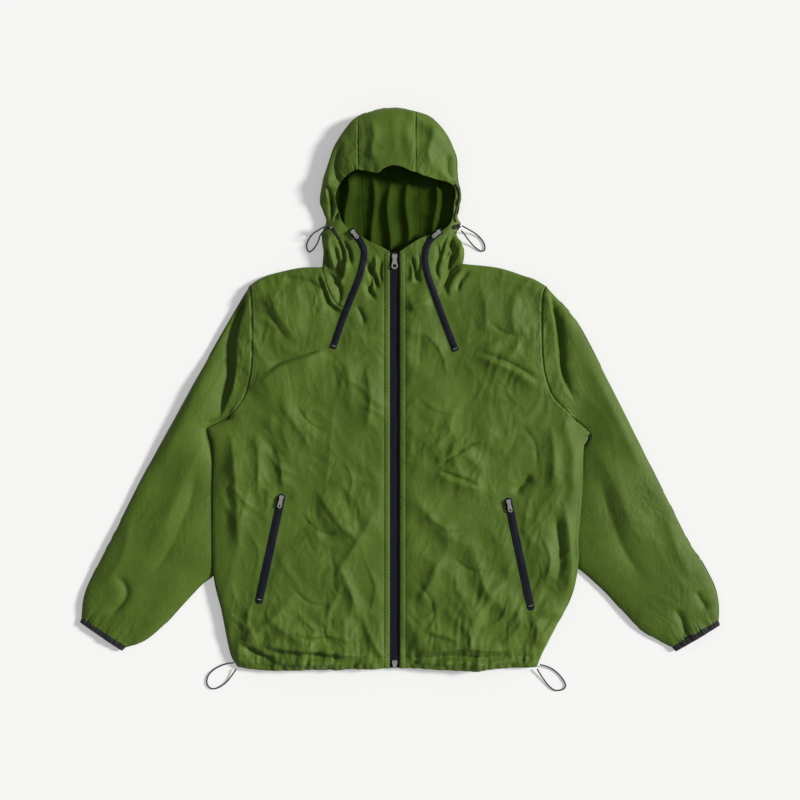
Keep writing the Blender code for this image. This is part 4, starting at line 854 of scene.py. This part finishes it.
def hood_center(cols, t_under, t_top):
    rim = curve(HOOD_RIM, 15 + 2 * cols)
    brow, neck = even(BROW, cols), even(BACK_NECK[2:5], cols)
    s, t = t_under[:, None, None], t_top[:, None, None]
    low = neck[None, :, :2] * (1 - s) + rim[None, :, :2] * s
    top = rim[None, :, :2] * (1 - t) + brow[None, :, :2] * t
    return [lift(grid, *hood_sheet(grid, brow[None, :, 2], t_top[:, None], upper))
            for grid, upper in ((low, False), (top, True))]


# ------------------------------------------------------------------ meshes
def normals(grid, up):
    du, dv = np.gradient(grid, axis=0), np.gradient(grid, axis=1)
    n = np.cross(du, dv)
    n /= np.maximum(np.linalg.norm(n, axis=-1, keepdims=True), 1e-9)
    flip = np.sign((n[..., 2] * np.where(np.abs(n[..., 2]) > 0.05, 1, 0)).mean()) * (1 if up else -1)
    return n * (flip if flip else 1)


def creased(grid, upper):
    """The smooth form with its creases: proud of it above, up off the surface below."""
    near, mask = off_outline(grid[..., :2])
    n = normals(grid, upper)
    if upper:
        out = grid + n * (upper_relief(grid[..., :2], near) * mask)[..., None]
        out[..., 2] = np.maximum(out[..., 2], np.minimum(grid[..., 2], LEAST_TOP))
        return out
    out = grid.copy()
    out[..., 2] += under_relief(grid[..., :2]) * mask
    return out


def cloth_mesh(name, blocks, mat, thick=CLOTH_THICK):
    """One piece from grids that share their common edges, then given its thickness inwards.
    Each block is (grid, flip)."""
    index, verts, faces = {}, [], []
    for grid, flip in blocks:
        ids = np.zeros(grid.shape[:2], int)
        for i, j in np.ndindex(*grid.shape[:2]):
            key = tuple(np.round(grid[i, j], 2))
            if key not in index:
                index[key] = len(verts)
                verts.append(grid[i, j] * MM)
            ids[i, j] = index[key]
        a, b, c, d = ids[:-1, :-1], ids[:-1, 1:], ids[1:, 1:], ids[1:, :-1]
        quads = np.stack([a, b, c, d] if not flip else [d, c, b, a], axis=-1).reshape(-1, 4)
        for quad in quads:
            quad = [int(v) for k, v in enumerate(quad) if v != quad[k - 1]]
            if len(quad) >= 3:
                faces.append(quad)
    obj = mesh_object(name, [tuple(v) for v in verts], faces, mat, True)
    solid = obj.modifiers.new("thickness", "SOLIDIFY")
    solid.thickness = thick * MM
    solid.offset = -1.0
    # the inner skin and rim take the last material; for the panels that is a darker copy of the cloth,
    # painted shade
    solid.material_offset = len(mat) - 1
    return obj


# ------------------------------------------------------------------ materials
def new_material(name):
    mat = bpy.data.materials.new(name)
    mat.use_nodes = True
    nodes, links = mat.node_tree.nodes, mat.node_tree.links
    return mat, nodes, links, nodes["Principled BSDF"]


def node(nodes, kind, **values):
    made = nodes.new(kind)
    for key, value in values.items():
        if hasattr(made, key) and key not in made.inputs:
            setattr(made, key, value)
        else:
            made.inputs[key.replace("_", " ")].default_value = value
    return made


def set_inputs(shader, **values):
    for key, value in values.items():
        shader.inputs[key.replace("_", " ")].default_value = value


def texture(nodes, links, where, kind, **values):
    made = node(nodes, kind, **values)
    links.new(where, made.inputs["Vector"])
    return made


def math_node(nodes, links, operation, *values):
    """One operation on sockets and plain numbers."""
    made = node(nodes, "ShaderNodeMath", operation=operation)
    for socket, value in zip(made.inputs, values):
        if isinstance(value, float):
            socket.default_value = value
        else:
            links.new(value, socket)
    return made.outputs[0]


def ramp_node(nodes, links, fac, places, colours):
    ramp = node(nodes, "ShaderNodeValToRGB")
    for k in (0, 1):
        ramp.color_ramp.elements[k].position = places[k]
        ramp.color_ramp.elements[k].color = (*colours[k], 1)
    links.new(fac, ramp.inputs["Fac"])
    return ramp.outputs["Color"]


def bump_node(nodes, links, height, strength, distance):
    made = node(nodes, "ShaderNodeBump", Strength=strength, Distance=distance)
    links.new(height, made.inputs["Height"])
    return made


STREAKS = (260.0, 26.0, 60.0)     # how fine the streaks of colour are along x, y and z
STREAK_SHARE = 0.22
BLOTCH_SHARE = 0.80
THREAD_DEPTH = 0.00012


def fabric(name, dark, light, rough, weave, crinkles, sheen, specular=0.34):
    """Woven cloth: thread grid, fine crinkle, blotches and streaks of colour."""
    mat, nodes, links, shader = new_material(name)
    where = node(nodes, "ShaderNodeTexCoord").outputs["Object"]
    blotch = texture(nodes, links, where, "ShaderNodeTexNoise", Scale=14.0, Detail=5.0, Roughness=0.6)
    streak_map = texture(nodes, links, where, "ShaderNodeMapping", Scale=STREAKS)
    streak = texture(nodes, links, streak_map.outputs["Vector"], "ShaderNodeTexNoise", Scale=1.0, Detail=3.0)
    blotches = math_node(nodes, links, "MULTIPLY", blotch.outputs["Fac"], BLOTCH_SHARE)
    mix = math_node(nodes, links, "MULTIPLY_ADD", streak.outputs["Fac"], STREAK_SHARE, blotches)
    links.new(ramp_node(nodes, links, mix, (0.36, 0.66), (dark, light)), shader.inputs["Base Color"])
    set_inputs(shader, Roughness=rough, Sheen_Weight=sheen, Sheen_Roughness=0.4, Specular_IOR_Level=specular)
    waves = []
    for turn in (0.0, math.pi / 2):
        turned = texture(nodes, links, where, "ShaderNodeMapping", Rotation=(0, 0, turn))
        waves.append(texture(nodes, links, turned.outputs["Vector"], "ShaderNodeTexWave", Scale=weave,
                             Distortion=0.4, Detail=1.0).outputs["Fac"])
    last = bump_node(nodes, links, math_node(nodes, links, "MAXIMUM", *waves), 0.35, THREAD_DEPTH)
    for scale, distance in crinkles:
        lumps = texture(nodes, links, where, "ShaderNodeTexNoise", Scale=scale, Detail=4.0, Roughness=0.55,
                        Distortion=0.6)
        bump = bump_node(nodes, links, lumps.outputs["Fac"], 1.0, distance)
        links.new(last.outputs["Normal"], bump.inputs["Normal"])
        last = bump
    links.new(last.outputs["Normal"], shader.inputs["Normal"])
    return mat


def hard(name, colour, rough, metal, coat=0.0):
    """Metal or plastic with a fine grain."""
    mat, nodes, links, shader = new_material(name)
    where = node(nodes, "ShaderNodeTexCoord").outputs["Object"]
    grain = texture(nodes, links, where, "ShaderNodeTexNoise", Scale=900.0, Detail=3.0).outputs["Fac"]
    shades = [c * 0.8 for c in colour], [min(c * 1.12, 1) for c in colour]
    links.new(ramp_node(nodes, links, grain, (0.3, 0.7), shades), shader.inputs["Base Color"])
    lumps = bump_node(nodes, links, grain, 0.5, 0.00003)
    links.new(lumps.outputs["Normal"], shader.inputs["Normal"])
    set_inputs(shader, Roughness=rough, Metallic=metal, Coat_Weight=coat)
    return mat


NYLON = fabric("nylon_shell", (0.054, 0.100, 0.008), (0.077, 0.129, 0.013), 0.58, 620.0,
               [(150.0, 0.0006), (420.0, 0.0002)], 0.06, 0.2)
# darker copy of the shell cloth for the panels' inner skins and rims: painted shade, chiefly for the hood's
# hollow
SHADED_INSIDE = fabric("nylon_inside_painted_shade", (0.015, 0.034, 0.001), (0.030, 0.058, 0.003), 0.7, 620.0,
                [(130.0, 0.0007), (420.0, 0.0002)], 0.0, 0.05)
TAPE = fabric("zip_tape_weave", (0.004, 0.005, 0.010), (0.009, 0.010, 0.018), 0.62, 700.0,
              [(500.0, 0.0001)], 0.02, 0.12)
COIL = hard("zip_coil", (0.012, 0.012, 0.020), 0.35, 0.0)
BINDING = fabric("elastic_binding", (0.006, 0.006, 0.008), (0.014, 0.014, 0.018), 0.8, 420.0,
                 [(300.0, 0.0003)], 0.2)
CORD = fabric("cord_braid", (0.006, 0.006, 0.008), (0.016, 0.016, 0.018), 0.65, 560.0,
              [(900.0, 0.0001)], 0.1)
METAL = hard("zip_metal_worn", (0.82, 0.79, 0.72), 0.2, 1.0)
PLASTIC = hard("lock_plastic", (0.014, 0.014, 0.016), 0.4, 0.0, coat=0.2)
THREAD = fabric("thread_green", (0.085, 0.15, 0.022), (0.125, 0.20, 0.04), 0.6, 1500.0,
                [(800.0, 0.0001)], 0.15)
BARTACK = hard("bartack_pale", (0.42, 0.43, 0.42), 0.5, 0.0)

# ------------------------------------------------------------------ build the cloth
panels = []
T_TOP = 1 - steps(0, 1, 36, 0.35, 14)[::-1]
HOOD_UNDER = steps(0, 1, 26, 0.4, 13)[:-1]
CROWN_UNDER = CROWN_SHARE + (1 - CROWN_SHARE) * HOOD_UNDER
TUCK_IN = 5.0         # how far a sleeve's top end runs on between the body's two sheets


def panel(name, blocks):
    # inner skins and rims take the darker copy of the cloth, painted shade
    obj = cloth_mesh(name, blocks, (NYLON, SHADED_INSIDE), CLOTH_THICK)
    panels.append(obj)
    return obj


def tuck_in(grid, rise):
    """The sleeve's end runs on a little way between the body's two sheets, as a seam allowance does."""
    move = grid[0] - grid[3]
    move[:, 2] = 0
    reach = TUCK_IN * smoothstep(np.linspace(0, 1, len(move)) / 0.25)[:, None]
    grid[0] += move / np.maximum(np.linalg.norm(move, axis=1, keepdims=True), TINY) * reach
    grid[0, :, 2] += rise
    grid[1, :, 2] += rise * 0.5


panel("shell_back", [(creased(grid, False), k == 0) for k, grid in enumerate(back())])
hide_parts("back")
for side in ("left", "right"):
    near, wing = [creased(grid, True) for grid in front(side)]
    wing[:, 0] = near[:len(ROWS_TOP), -1]
    panel("shell_front_" + side, [(near, side == "right"), (wing, side == "right")])
    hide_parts("front_" + side)
cuff_rows = {}
for side in ("left", "right"):
    top = creased(sleeve(side, ALONG, ACROSS, True), True)
    low = creased(sleeve(side, ALONG, ACROSS_UNDER, False), False)
    tuck_in(top, -2.2)
    tuck_in(low, 0.9)
    for k in (0, -1):
        low[:, k] = top[:, k] = (low[:, k] + top[:, k]) / 2
    cuff_rows[side] = top[-1].copy(), low[-1].copy()
    panel("shell_sleeve_" + side, [(top, side == "right"), (low, side == "left")])
    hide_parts("sleeve_" + side)
for side in ("left", "right"):
    rows = np.linspace(0, len(HOOD_EDGE[side]) - 1, 150)
    low, top = hood_side(side, rows, HOOD_UNDER, T_TOP)
    low, top = creased(low, False), creased(top, True)
    top[:, 0] = (top[:, 0] + low[:, -1]) / 2
    panel("shell_hood_" + side, [(np.concatenate([low[:, :-1], top], axis=1), side == "left")])
    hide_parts("hood_" + side)
strip_under = np.concatenate([np.linspace(0, CROWN_SHARE, 70)[:-1], CROWN_UNDER])
low, top = hood_center(np.linspace(0, 1, 50), strip_under, T_TOP)
low, top = creased(low, False), creased(top, True)
panel("shell_hood_center", [(np.concatenate([low, top], axis=0), False)])
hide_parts("hood_center")

for obj in panels:
    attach(obj, "garment")

# ------------------------------------------------------------------ trim laid on the cloth
def tree_of(objects):
    verts, polys = [], []
    for obj in objects:
        base = len(verts)
        verts += [tuple(v.co) for v in obj.data.vertices]
        polys += [[base + i for i in p.vertices] for p in obj.data.polygons]
    return BVHTree.FromPolygons(verts, polys)


CLOTH = tree_of(panels)


def top_at(xy):
    """Height of the uppermost cloth at plan points, mm."""
    flat = np.asarray(xy, float).reshape(-1, 2)
    out = np.zeros(len(flat))
    for k, (x, y) in enumerate(flat):
        hit = CLOTH.ray_cast(Vector((x * MM, y * MM, 0.2)), Vector((0, 0, -1)))[0]
        out[k] = hit.z / MM if hit is not None else 0.0
    return out.reshape(np.asarray(xy).shape[:-1])


def soften(values, width):
    kernel = np.hanning(2 * width + 3)[1:-1]
    padded = np.pad(values, width, mode="edge")
    return np.convolve(padded, kernel / kernel.sum(), mode="valid")


def rail(rows, step):
    """Plan points at even steps along the rows' curve, and the left-hand side of each."""
    length = run_of(even(rows, 200))[-1]
    path = even(rows, max(int(length / step) + 1, 3))[:, :2]
    along = np.gradient(path, axis=0)
    along /= np.linalg.norm(along, axis=1)[:, None]
    return path, np.stack([-along[:, 1], along[:, 0]], axis=1), run_of(path)


def ribbon(name, rows, low, high, mat, raised=0.5, thick=0.9, step=2.0, across=9, relief=None, level=None,
           round_ends=False, close=0.15, smooth=4):
    """A strip lying on the cloth between two offsets from its path; relief(along, across) adds height."""
    path, side, run = rail(rows, step)
    offs = np.linspace(low, high, across)
    spread = np.ones(len(path))
    if round_ends:
        half = (high - low) / 2
        tip = np.minimum(run, run[-1] - run)
        spread = np.sqrt(np.clip(1 - (1 - np.clip((tip + 0.25) / half, 0, 1)) ** 2, 0.02, 1))
    mid = (low + high) / 2
    xy = path[:, None] + side[:, None] * (mid + (offs - mid)[None] * spread[:, None])[..., None]
    if level is None:
        z = top_at(xy)
        for k in range(len(z) - 2, -1, -1):          # past the cloth's edge, carry its height on
            z[k] = np.where(z[k] < z[k + 1] - 2.5, z[k + 1], z[k])
        ends = [soften(z[:, k], smooth) for k in (0, across // 2, -1)]
        share = np.linspace(0, 1, across)[None]
        eased = np.where(share < 0.5, ends[0][:, None] * (1 - 2 * share) + ends[1][:, None] * 2 * share,
                         ends[1][:, None] * (2 - 2 * share) + ends[2][:, None] * (2 * share - 1))
        z = np.maximum(eased + raised, z + close)
    else:
        z = level(xy)
    if relief is not None:
        z = z + relief(run[:, None], offs[None] - low)
    grid = np.concatenate([xy, z[..., None]], axis=-1)
    obj = cloth_mesh(name, [(grid, True)], (mat,), thick)
    trims.append(obj)
    return obj, grid


def spots_on(rows, share, gap):
    """Plan points at shares of a path's length, and the way it runs there."""
    after, before = np.minimum(share + gap, 1), np.maximum(share - gap, 0)
    ahead = even(rows, after)[:, :2] - even(rows, before)[:, :2]
    return even(rows, share)[:, :2], ahead / np.linalg.norm(ahead, axis=1)[:, None]


def bars(name, rows, level, mat, pitch=1.7, long=3.1, wide=0.9, tall=0.75, swing=0.75, start=0.0, stop=1.0):
    """The coil of a zip: short bars that lean both ways in turn."""
    n = int(run_of(even(rows, 400))[-1] * (stop - start) / pitch)
    spot, ahead = spots_on(rows, start + (stop - start) * (np.arange(n) + 0.5) / n, 0.002)
    z = level(spot)
    verts, faces = [], []
    for k in range(n):
        lean = 0.28 if k % 2 else -0.28
        t = ahead[k]
        s = np.array([-t[1], t[0]])
        axis = s * math.cos(lean) + t * math.sin(lean)
        other = np.array([-axis[1], axis[0]])
        mid = spot[k] + s * (swing if k % 2 else -swing)
        base = len(verts)
        for dz, shrink in ((0.0, 1.0), (tall * 0.6, 1.0), (tall, 0.6)):
            for a, b in ((-1, -1), (1, -1), (1, 1), (-1, 1)):
                p = mid + axis * a * long / 2 * (1 if dz < tall else 0.86) + other * b * wide / 2 * shrink
                verts.append((p[0] * MM, p[1] * MM, (z[k] + dz) * MM))
        for ring in (0, 4):
            for i in range(4):
                j = (i + 1) % 4
                faces.append((base + ring + i, base + ring + j, base + ring + 4 + j, base + ring + 4 + i))
        faces.append((base + 8, base + 9, base + 10, base + 11))
        faces.append((base + 3, base + 2, base + 1, base))
    return solid_piece(name, verts, faces, mat)


def solid_piece(name, verts, faces, mat, smooth=False):
    obj = mesh_object(name, verts, faces, (mat,), smooth)
    trims.append(obj)
    return obj


def stitches(name, lines, mat, pitch=3.6, long=2.7, radius=0.42, raised=0.1):
    """Rows of thread along offset paths: one small spindle a stitch."""
    verts, faces = [], []
    for rows, offset in lines:
        n = max(int(run_of(even(rows, 200))[-1] / pitch), 2)
        spot, ahead = spots_on(rows, (np.arange(n) + 0.5) / n, 0.004)
        side = np.stack([-ahead[:, 1], ahead[:, 0]], axis=1)
        spot = spot + side * offset
        z0, z1 = top_at(spot - ahead * long * 0.4), top_at(spot + ahead * long * 0.4)
        keep = (z0 > 1.0) & (z1 > 1.0) & (np.abs(z1 - z0) < 2.0)
        for p, t, s, a, b in zip(spot[keep], ahead[keep], side[keep], z0[keep], z1[keep]):
            base = len(verts)
            mid_z = (a + b) / 2 + raised
            slope = (b - a) / (0.8 * long)
            for u, r in ((-0.5, 0), (-0.22, 1), (0.22, 1), (0.5, 0)):
                c = p + t * u * long
                z = mid_z + slope * u * long
                if r == 0:
                    verts.append((c[0] * MM, c[1] * MM, (z - 0.1) * MM))
                else:
                    for ds, dz in ((radius, 0), (0, radius), (-radius, 0), (0, -radius)):
                        q = c + s * ds
                        verts.append((q[0] * MM, q[1] * MM, (z + dz) * MM))
            for i in range(4):
                j = (i + 1) % 4
                faces.append((base, base + 1 + i, base + 1 + j))
                faces.append((base + 1 + i, base + 5 + i, base + 5 + j, base + 1 + j))
                faces.append((base + 9, base + 5 + j, base + 5 + i))
    return solid_piece(name, verts, faces, mat, True)


def blob(name, spots, mat, radius=0.95, squash=0.6):
    verts, faces = [], []
    for x, y, z in spots:
        base = len(verts)
        rings, around = 4, 10
        for i in range(rings + 1):
            polar = math.pi / 2 * i / rings
            for k in range(around):
                turn = 2 * math.pi * k / around
                verts.append(((x + radius * math.cos(polar) * math.cos(turn)) * MM,
                              (y + radius * math.cos(polar) * math.sin(turn)) * MM,
                              (z + radius * squash * math.sin(polar)) * MM))
        for i in range(rings):
            for k in range(around):
                j = (k + 1) % around
                a = base + i * around
                faces.append((a + k, a + j, a + around + j, a + around + k))
    return solid_piece(name, verts, faces, mat, True)


trims = []


def tape_level(xy):
    return table(FRONT_EDGE, xy[..., 1]) - TAPE_DROP


def rope(lean):
    """Twisted puckers of the turned edge beside the zip."""
    def height(along, across):
        bell = np.clip(np.sin(math.pi * np.clip(across / PLACKET, 0, 1)), 0, 1) ** 0.7
        wander = 2.2 * noise(along / 13.0, across / 30.0, 61)
        twist = 0.5 + 0.5 * np.sin(2 * math.pi * (along / 5.6 + lean * across / 10.0) + wander)
        power = 0.55 + 0.9 * np.abs(noise(along / 28.0, across * 0 + 2.0, 62))
        return bell * (0.2 + 1.75 * power * twist ** 1.5) + 0.2 * bell * noise(along / 2.6, across / 2.2, 63)
    return height


def beside(side, near, far):
    """Offsets of a strip from the front zip's line, which runs towards the hood: left is negative."""
    return (-far, -near) if side == "left" else (near, far)


def zip_line(*ys):
    return [(ZIP_X, y) for y in ys]


# front zip: two tapes, the coil between them, and the puckered turned edges beside them
for side, lean in (("left", 1), ("right", -1)):
    low, high = beside(side, 0.18, ZIP_HALF + TAPE_UNDERLAP)
    tape, _ = ribbon("tape_front_" + side, zip_line(-487.5, -300, -60, 90, 180, 238), low, high, TAPE,
                     thick=0.7, step=3.0, level=tape_level,
                     relief=lambda along, across: 0.12 * np.cos(across * 1.9) + 0.12)
    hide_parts("zip_tape_" + side)
    low, high = beside(side, ZIP_HALF - 0.1, ZIP_HALF + PLACKET)
    ribbon("turned_edge_" + side, zip_line(-488, -300, -60, 90, 180, 236), low, high, NYLON, raised=0.05,
           thick=0.4, step=1.15, relief=rope(lean), close=0.02)
bars("coil_front", zip_line(-474, -200, 60, 222), tape_level, COIL)


def swell(half):
    """The strip of a sewn-in zip stands a little proud in the middle and drops at its edges."""
    def height(along, across):
        edge = np.minimum(across, 2 * half - across)
        return 0.35 * np.exp(-((across - half) / 2.2) ** 2) - 0.35 * np.exp(-(edge / 0.7) ** 2)
    return height


def level_on(line):
    """Height just under the nearest point of a line on a strip."""
    def level(spot):
        near = np.argmin(((spot[:, None, :] - line[None, :, :2]) ** 2).sum(-1), axis=1)
        return line[near, 2] - 0.05
    return level


# sewn-in zips: lines, half width, least height off the cloth, where the bartacks lie back from the
# end and across
SEWN_ZIPS = {"vent": (VENT_ZIP, 5.6, 1.3, 0.15, (-1.7, 1.7)),
             "pocket": (POCKET_ZIP, 6.9, 0.8, 0.75, (-2.4, 0.0, 2.4))}
TACK_ROW, ROW_BEFORE = -3, -7
ACROSS_LOW, ACROSS_MID, ACROSS_HIGH = 2, 5, 8
tacks = []
for side in ("right", "left"):
    for kind, (lines, half, close, back_share, offsets) in SEWN_ZIPS.items():
        rows = lines[side]
        tape, grid = ribbon("tape_" + kind + "_" + side, rows, -half, half, TAPE, raised=0.9, thick=0.9,
                            step=1.6, across=11, relief=swell(half), smooth=9, close=close,
                            round_ends=kind == "pocket")
        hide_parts(kind + "_zip_" + side)
        bars("coil_" + kind + "_" + side, rows, level_on(grid[:, ACROSS_MID]), COIL, long=2.6, start=0.10,
             stop=0.975)
        end = grid[TACK_ROW]
        back_off = end[ACROSS_MID] - grid[ROW_BEFORE, ACROSS_MID]
        across_dir = (end[ACROSS_HIGH] - end[ACROSS_LOW]) / np.linalg.norm(end[ACROSS_HIGH] - end[ACROSS_LOW])
        for offset in offsets:
            tacks.append(tuple(end[ACROSS_MID] - back_off * back_share + across_dir * offset))
blob("bartacks", tacks, BARTACK, 0.85, 0.7)



def ring_of(top, low):
    """The rows of a sleeve's end, closed into one ring."""
    ring = np.concatenate([top, low[::-1][1:-1]])
    return np.vstack([ring, ring[:1]])


def far_row(row, across, ends):
    """The same row at the far end of the binding."""
    s = across[:, None]
    far = row.copy()
    far[:, :2] = np.array(ends[:2]) * (1 - s) + np.array(ends[2:]) * s
    far[:, 2] = np.maximum(5.1 + (row[:, 2] - 5.1) * 0.86, 0.4)
    return far


# elastic binding of the cuffs, gathered; its first ring turns in under the sleeve's end
GATHER_WAVE = 5.2
for side in ("left", "right"):
    top, low = cuff_rows[side]
    ends = CUFF_END[side]
    start = ring_of(top, low)
    far = ring_of(far_row(top, ACROSS, ends), far_row(low, ACROSS_UNDER, ends))
    run = run_of(start)
    want = np.linspace(0, run[-1], 261)
    start, far = at_run(start, run, want), at_run(far, run, want)
    wander = 2.4 * noise(want / 9.0, want * 0 + 3, 41 + (side == "left"))
    wave = np.sin(2 * math.pi * want / GATHER_WAVE + wander)
    rings = []
    for v in np.concatenate([[-0.35], np.linspace(0, 1, 9)]):
        ring = start * (1 - v) + far * v
        away = np.zeros_like(ring)
        away[:, 2] = np.sign(ring[:, 2] - CUFF_MID) * np.clip(np.abs(ring[:, 2] - CUFF_MID) / 3.0, 0, 1)
        full = max(math.sin(math.pi * min(max(v, 0), 1)), 0) ** 0.5
        ring = ring + away * (0.15 + 0.75 * full * (0.6 + 0.5 * wave))[:, None]
        if v < 0:
            ring -= away * 0.9
        ring[:, 2] = np.maximum(ring[:, 2], 0.3)
        ring[-1] = ring[0]
        rings.append(ring)
    cuff = cloth_mesh("binding_cuff_" + side, [(np.stack(rings), side == "right")], (BINDING,), 1.0)
    trims.append(cuff)
    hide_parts("cuff_" + side)


# ------------------------------------------------------------------ cords, locks and hardware
def cord(name, rows):
    smooth = curve(rows, np.linspace(0, len(rows) - 1, 30 * len(rows)))
    run = run_of(smooth)
    pts = at_run(smooth, run, np.linspace(0, run[-1], int(run[-1] / CORD_STEP) + 1))
    data = bpy.data.curves.new(name, "CURVE")
    data.dimensions = "3D"
    data.bevel_depth = CORD_D / 2 * MM
    data.bevel_resolution = 3
    data.use_fill_caps = True
    line = data.splines.new("POLY")
    line.points.add(len(pts) - 1)
    for point, (x, y, z) in zip(line.points, pts):
        point.co = (x * MM, y * MM, z * MM, 1)
    obj = add_object("free_" + name, data)
    data.materials.append(CORD)
    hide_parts(name)
    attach(obj, "garment")
    return obj


for name, rows in LOOPS.items():
    cord(name, rows)
face_z = [max(top_at(np.array([[x + a, y]]))[0] for a in (-2, 0, 2)) + CORD_D / 2 + 0.3
          for x, y in FACE_CORD]
cord("cord_face_left", [(x, y, z) for (x, y), z in zip(FACE_CORD, face_z)])
tab, _ = ribbon("webbing_tab", [(-117.5, 280), (-112, 271), (-106, 261)], -2.4, 2.4, BINDING, raised=0.6,
                thick=0.9, step=1.0, across=5)
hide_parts("lock_tab_right")

# stitch lines: path, offset to its left-hand side
stitch_lines = []
for side, sign in (("left", -1), ("right", 1)):
    placket = zip_line(-486, -200, 60, 232)
    strip = [(STRIP_X[side], y) for y in (388, 410, 440, 476)]
    stitch_lines += [(placket, sign * (ZIP_HALF + 7.2)), (placket, sign * (ZIP_HALF + 1.6)),
                     (ARMHOLE[side], sign * -3.4), (ARMHOLE[side], sign * -8.6)]
    for rows, off in ((VENT_ZIP[side], 7.6), (POCKET_ZIP[side], 9.2), (strip, 3.0)):
        stitch_lines += [(rows, -off), (rows, off)]
    stitch_lines.append(([(x, y + CASING) for x, y in HEM[side]], 0.0))
    stitch_lines.append((plan(SHOULDER[side][1:4]), sign * 12.0))
stitches("stitches", stitch_lines, THREAD)


def rings_at(name, spot, turn, mat, radius=2.5, thick=0.55, along=(-4.4, 4.4)):
    """Rings that show at the ends of a cord lock."""
    verts, faces = [], []
    c, s = math.cos(turn), math.sin(turn)
    around, tube = 20, 8
    for step in along:
        base = len(verts)
        for i in range(around):
            a = 2 * math.pi * i / around
            for j in range(tube):
                b = 2 * math.pi * j / tube
                r = radius + thick * math.cos(b)
                x, y, z = r * math.cos(a), step + thick * math.sin(b), r * math.sin(a)
                x, y = c * x - s * y, s * x + c * y
                verts.append((spot[0] + x * MM, spot[1] + y * MM, spot[2] + z * MM))
        for i in range(around):
            here, beyond = base + i * tube, base + (i + 1) % around * tube
            for j in range(tube):
                k = (j + 1) % tube
                faces.append((here + j, beyond + j, beyond + k, here + k))
    return solid_piece(name, verts, faces, mat, True)


for side, (spot, turn) in LOCK_RINGS.items():
    rings_at("lock_rings_" + side, spot, math.radians(turn), METAL)
for name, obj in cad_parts.items():
    if name.startswith(("slider_", "pull_", "lock_hood")):
        for place in obj.material_slots:
            place.material = PLASTIC if name.startswith("lock") else METAL
for obj in trims:
    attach(obj, "garment")

# ------------------------------------------------------------------ light and floor
FLOOR_HALF = 30.0
FLOOR_Z = -0.0006
FLOOR_GREY = 0.55
FLOOR_GLOW = 0.33                        # keeps the shadows on the floor as light as a cut-out's
floor_mat, _, _, floor_shader = new_material("floor_pale")
set_inputs(floor_shader, Base_Color=(FLOOR_GREY, FLOOR_GREY, FLOOR_GREY, 1), Emission_Color=(1, 1, 1, 1),
           Emission_Strength=FLOOR_GLOW, Roughness=0.9)
corners = [(x * FLOOR_HALF, y * FLOOR_HALF, 0) for x, y in ((-1, -1), (1, -1), (1, 1), (-1, 1))]
floor = mesh_object("floor", corners, [(0, 1, 2, 3)], (floor_mat,), False)
floor.location.z = FLOOR_Z

WORLD_STRENGTH = 0.30
world = bpy.data.worlds.new("studio")
bpy.context.scene.world = world
world.use_nodes = True
set_inputs(world.node_tree.nodes["Background"], Color=(0.97, 0.985, 1.0, 1), Strength=WORLD_STRENGTH)
KEY_POWER = 4.87
KEY_WIDTH, KEY_AZIMUTH, KEY_HEIGHT = [math.radians(v) for v in (11, 12, 30)]   # round from +X, and up
key_data = bpy.data.lights.new("key", "SUN")
key_data.energy = KEY_POWER
key_data.angle = KEY_WIDTH
key_data.color = (1.0, 0.985, 0.95)
key = add_object("key", key_data)
flat_share = math.cos(KEY_HEIGHT)
to_sun = Vector((math.cos(KEY_AZIMUTH) * flat_share, math.sin(KEY_AZIMUTH) * flat_share,
                 math.sin(KEY_HEIGHT)))
key.rotation_euler = to_sun.to_track_quat("Z", "Y").to_euler()
bpy.context.scene.view_settings.view_transform = "Standard"
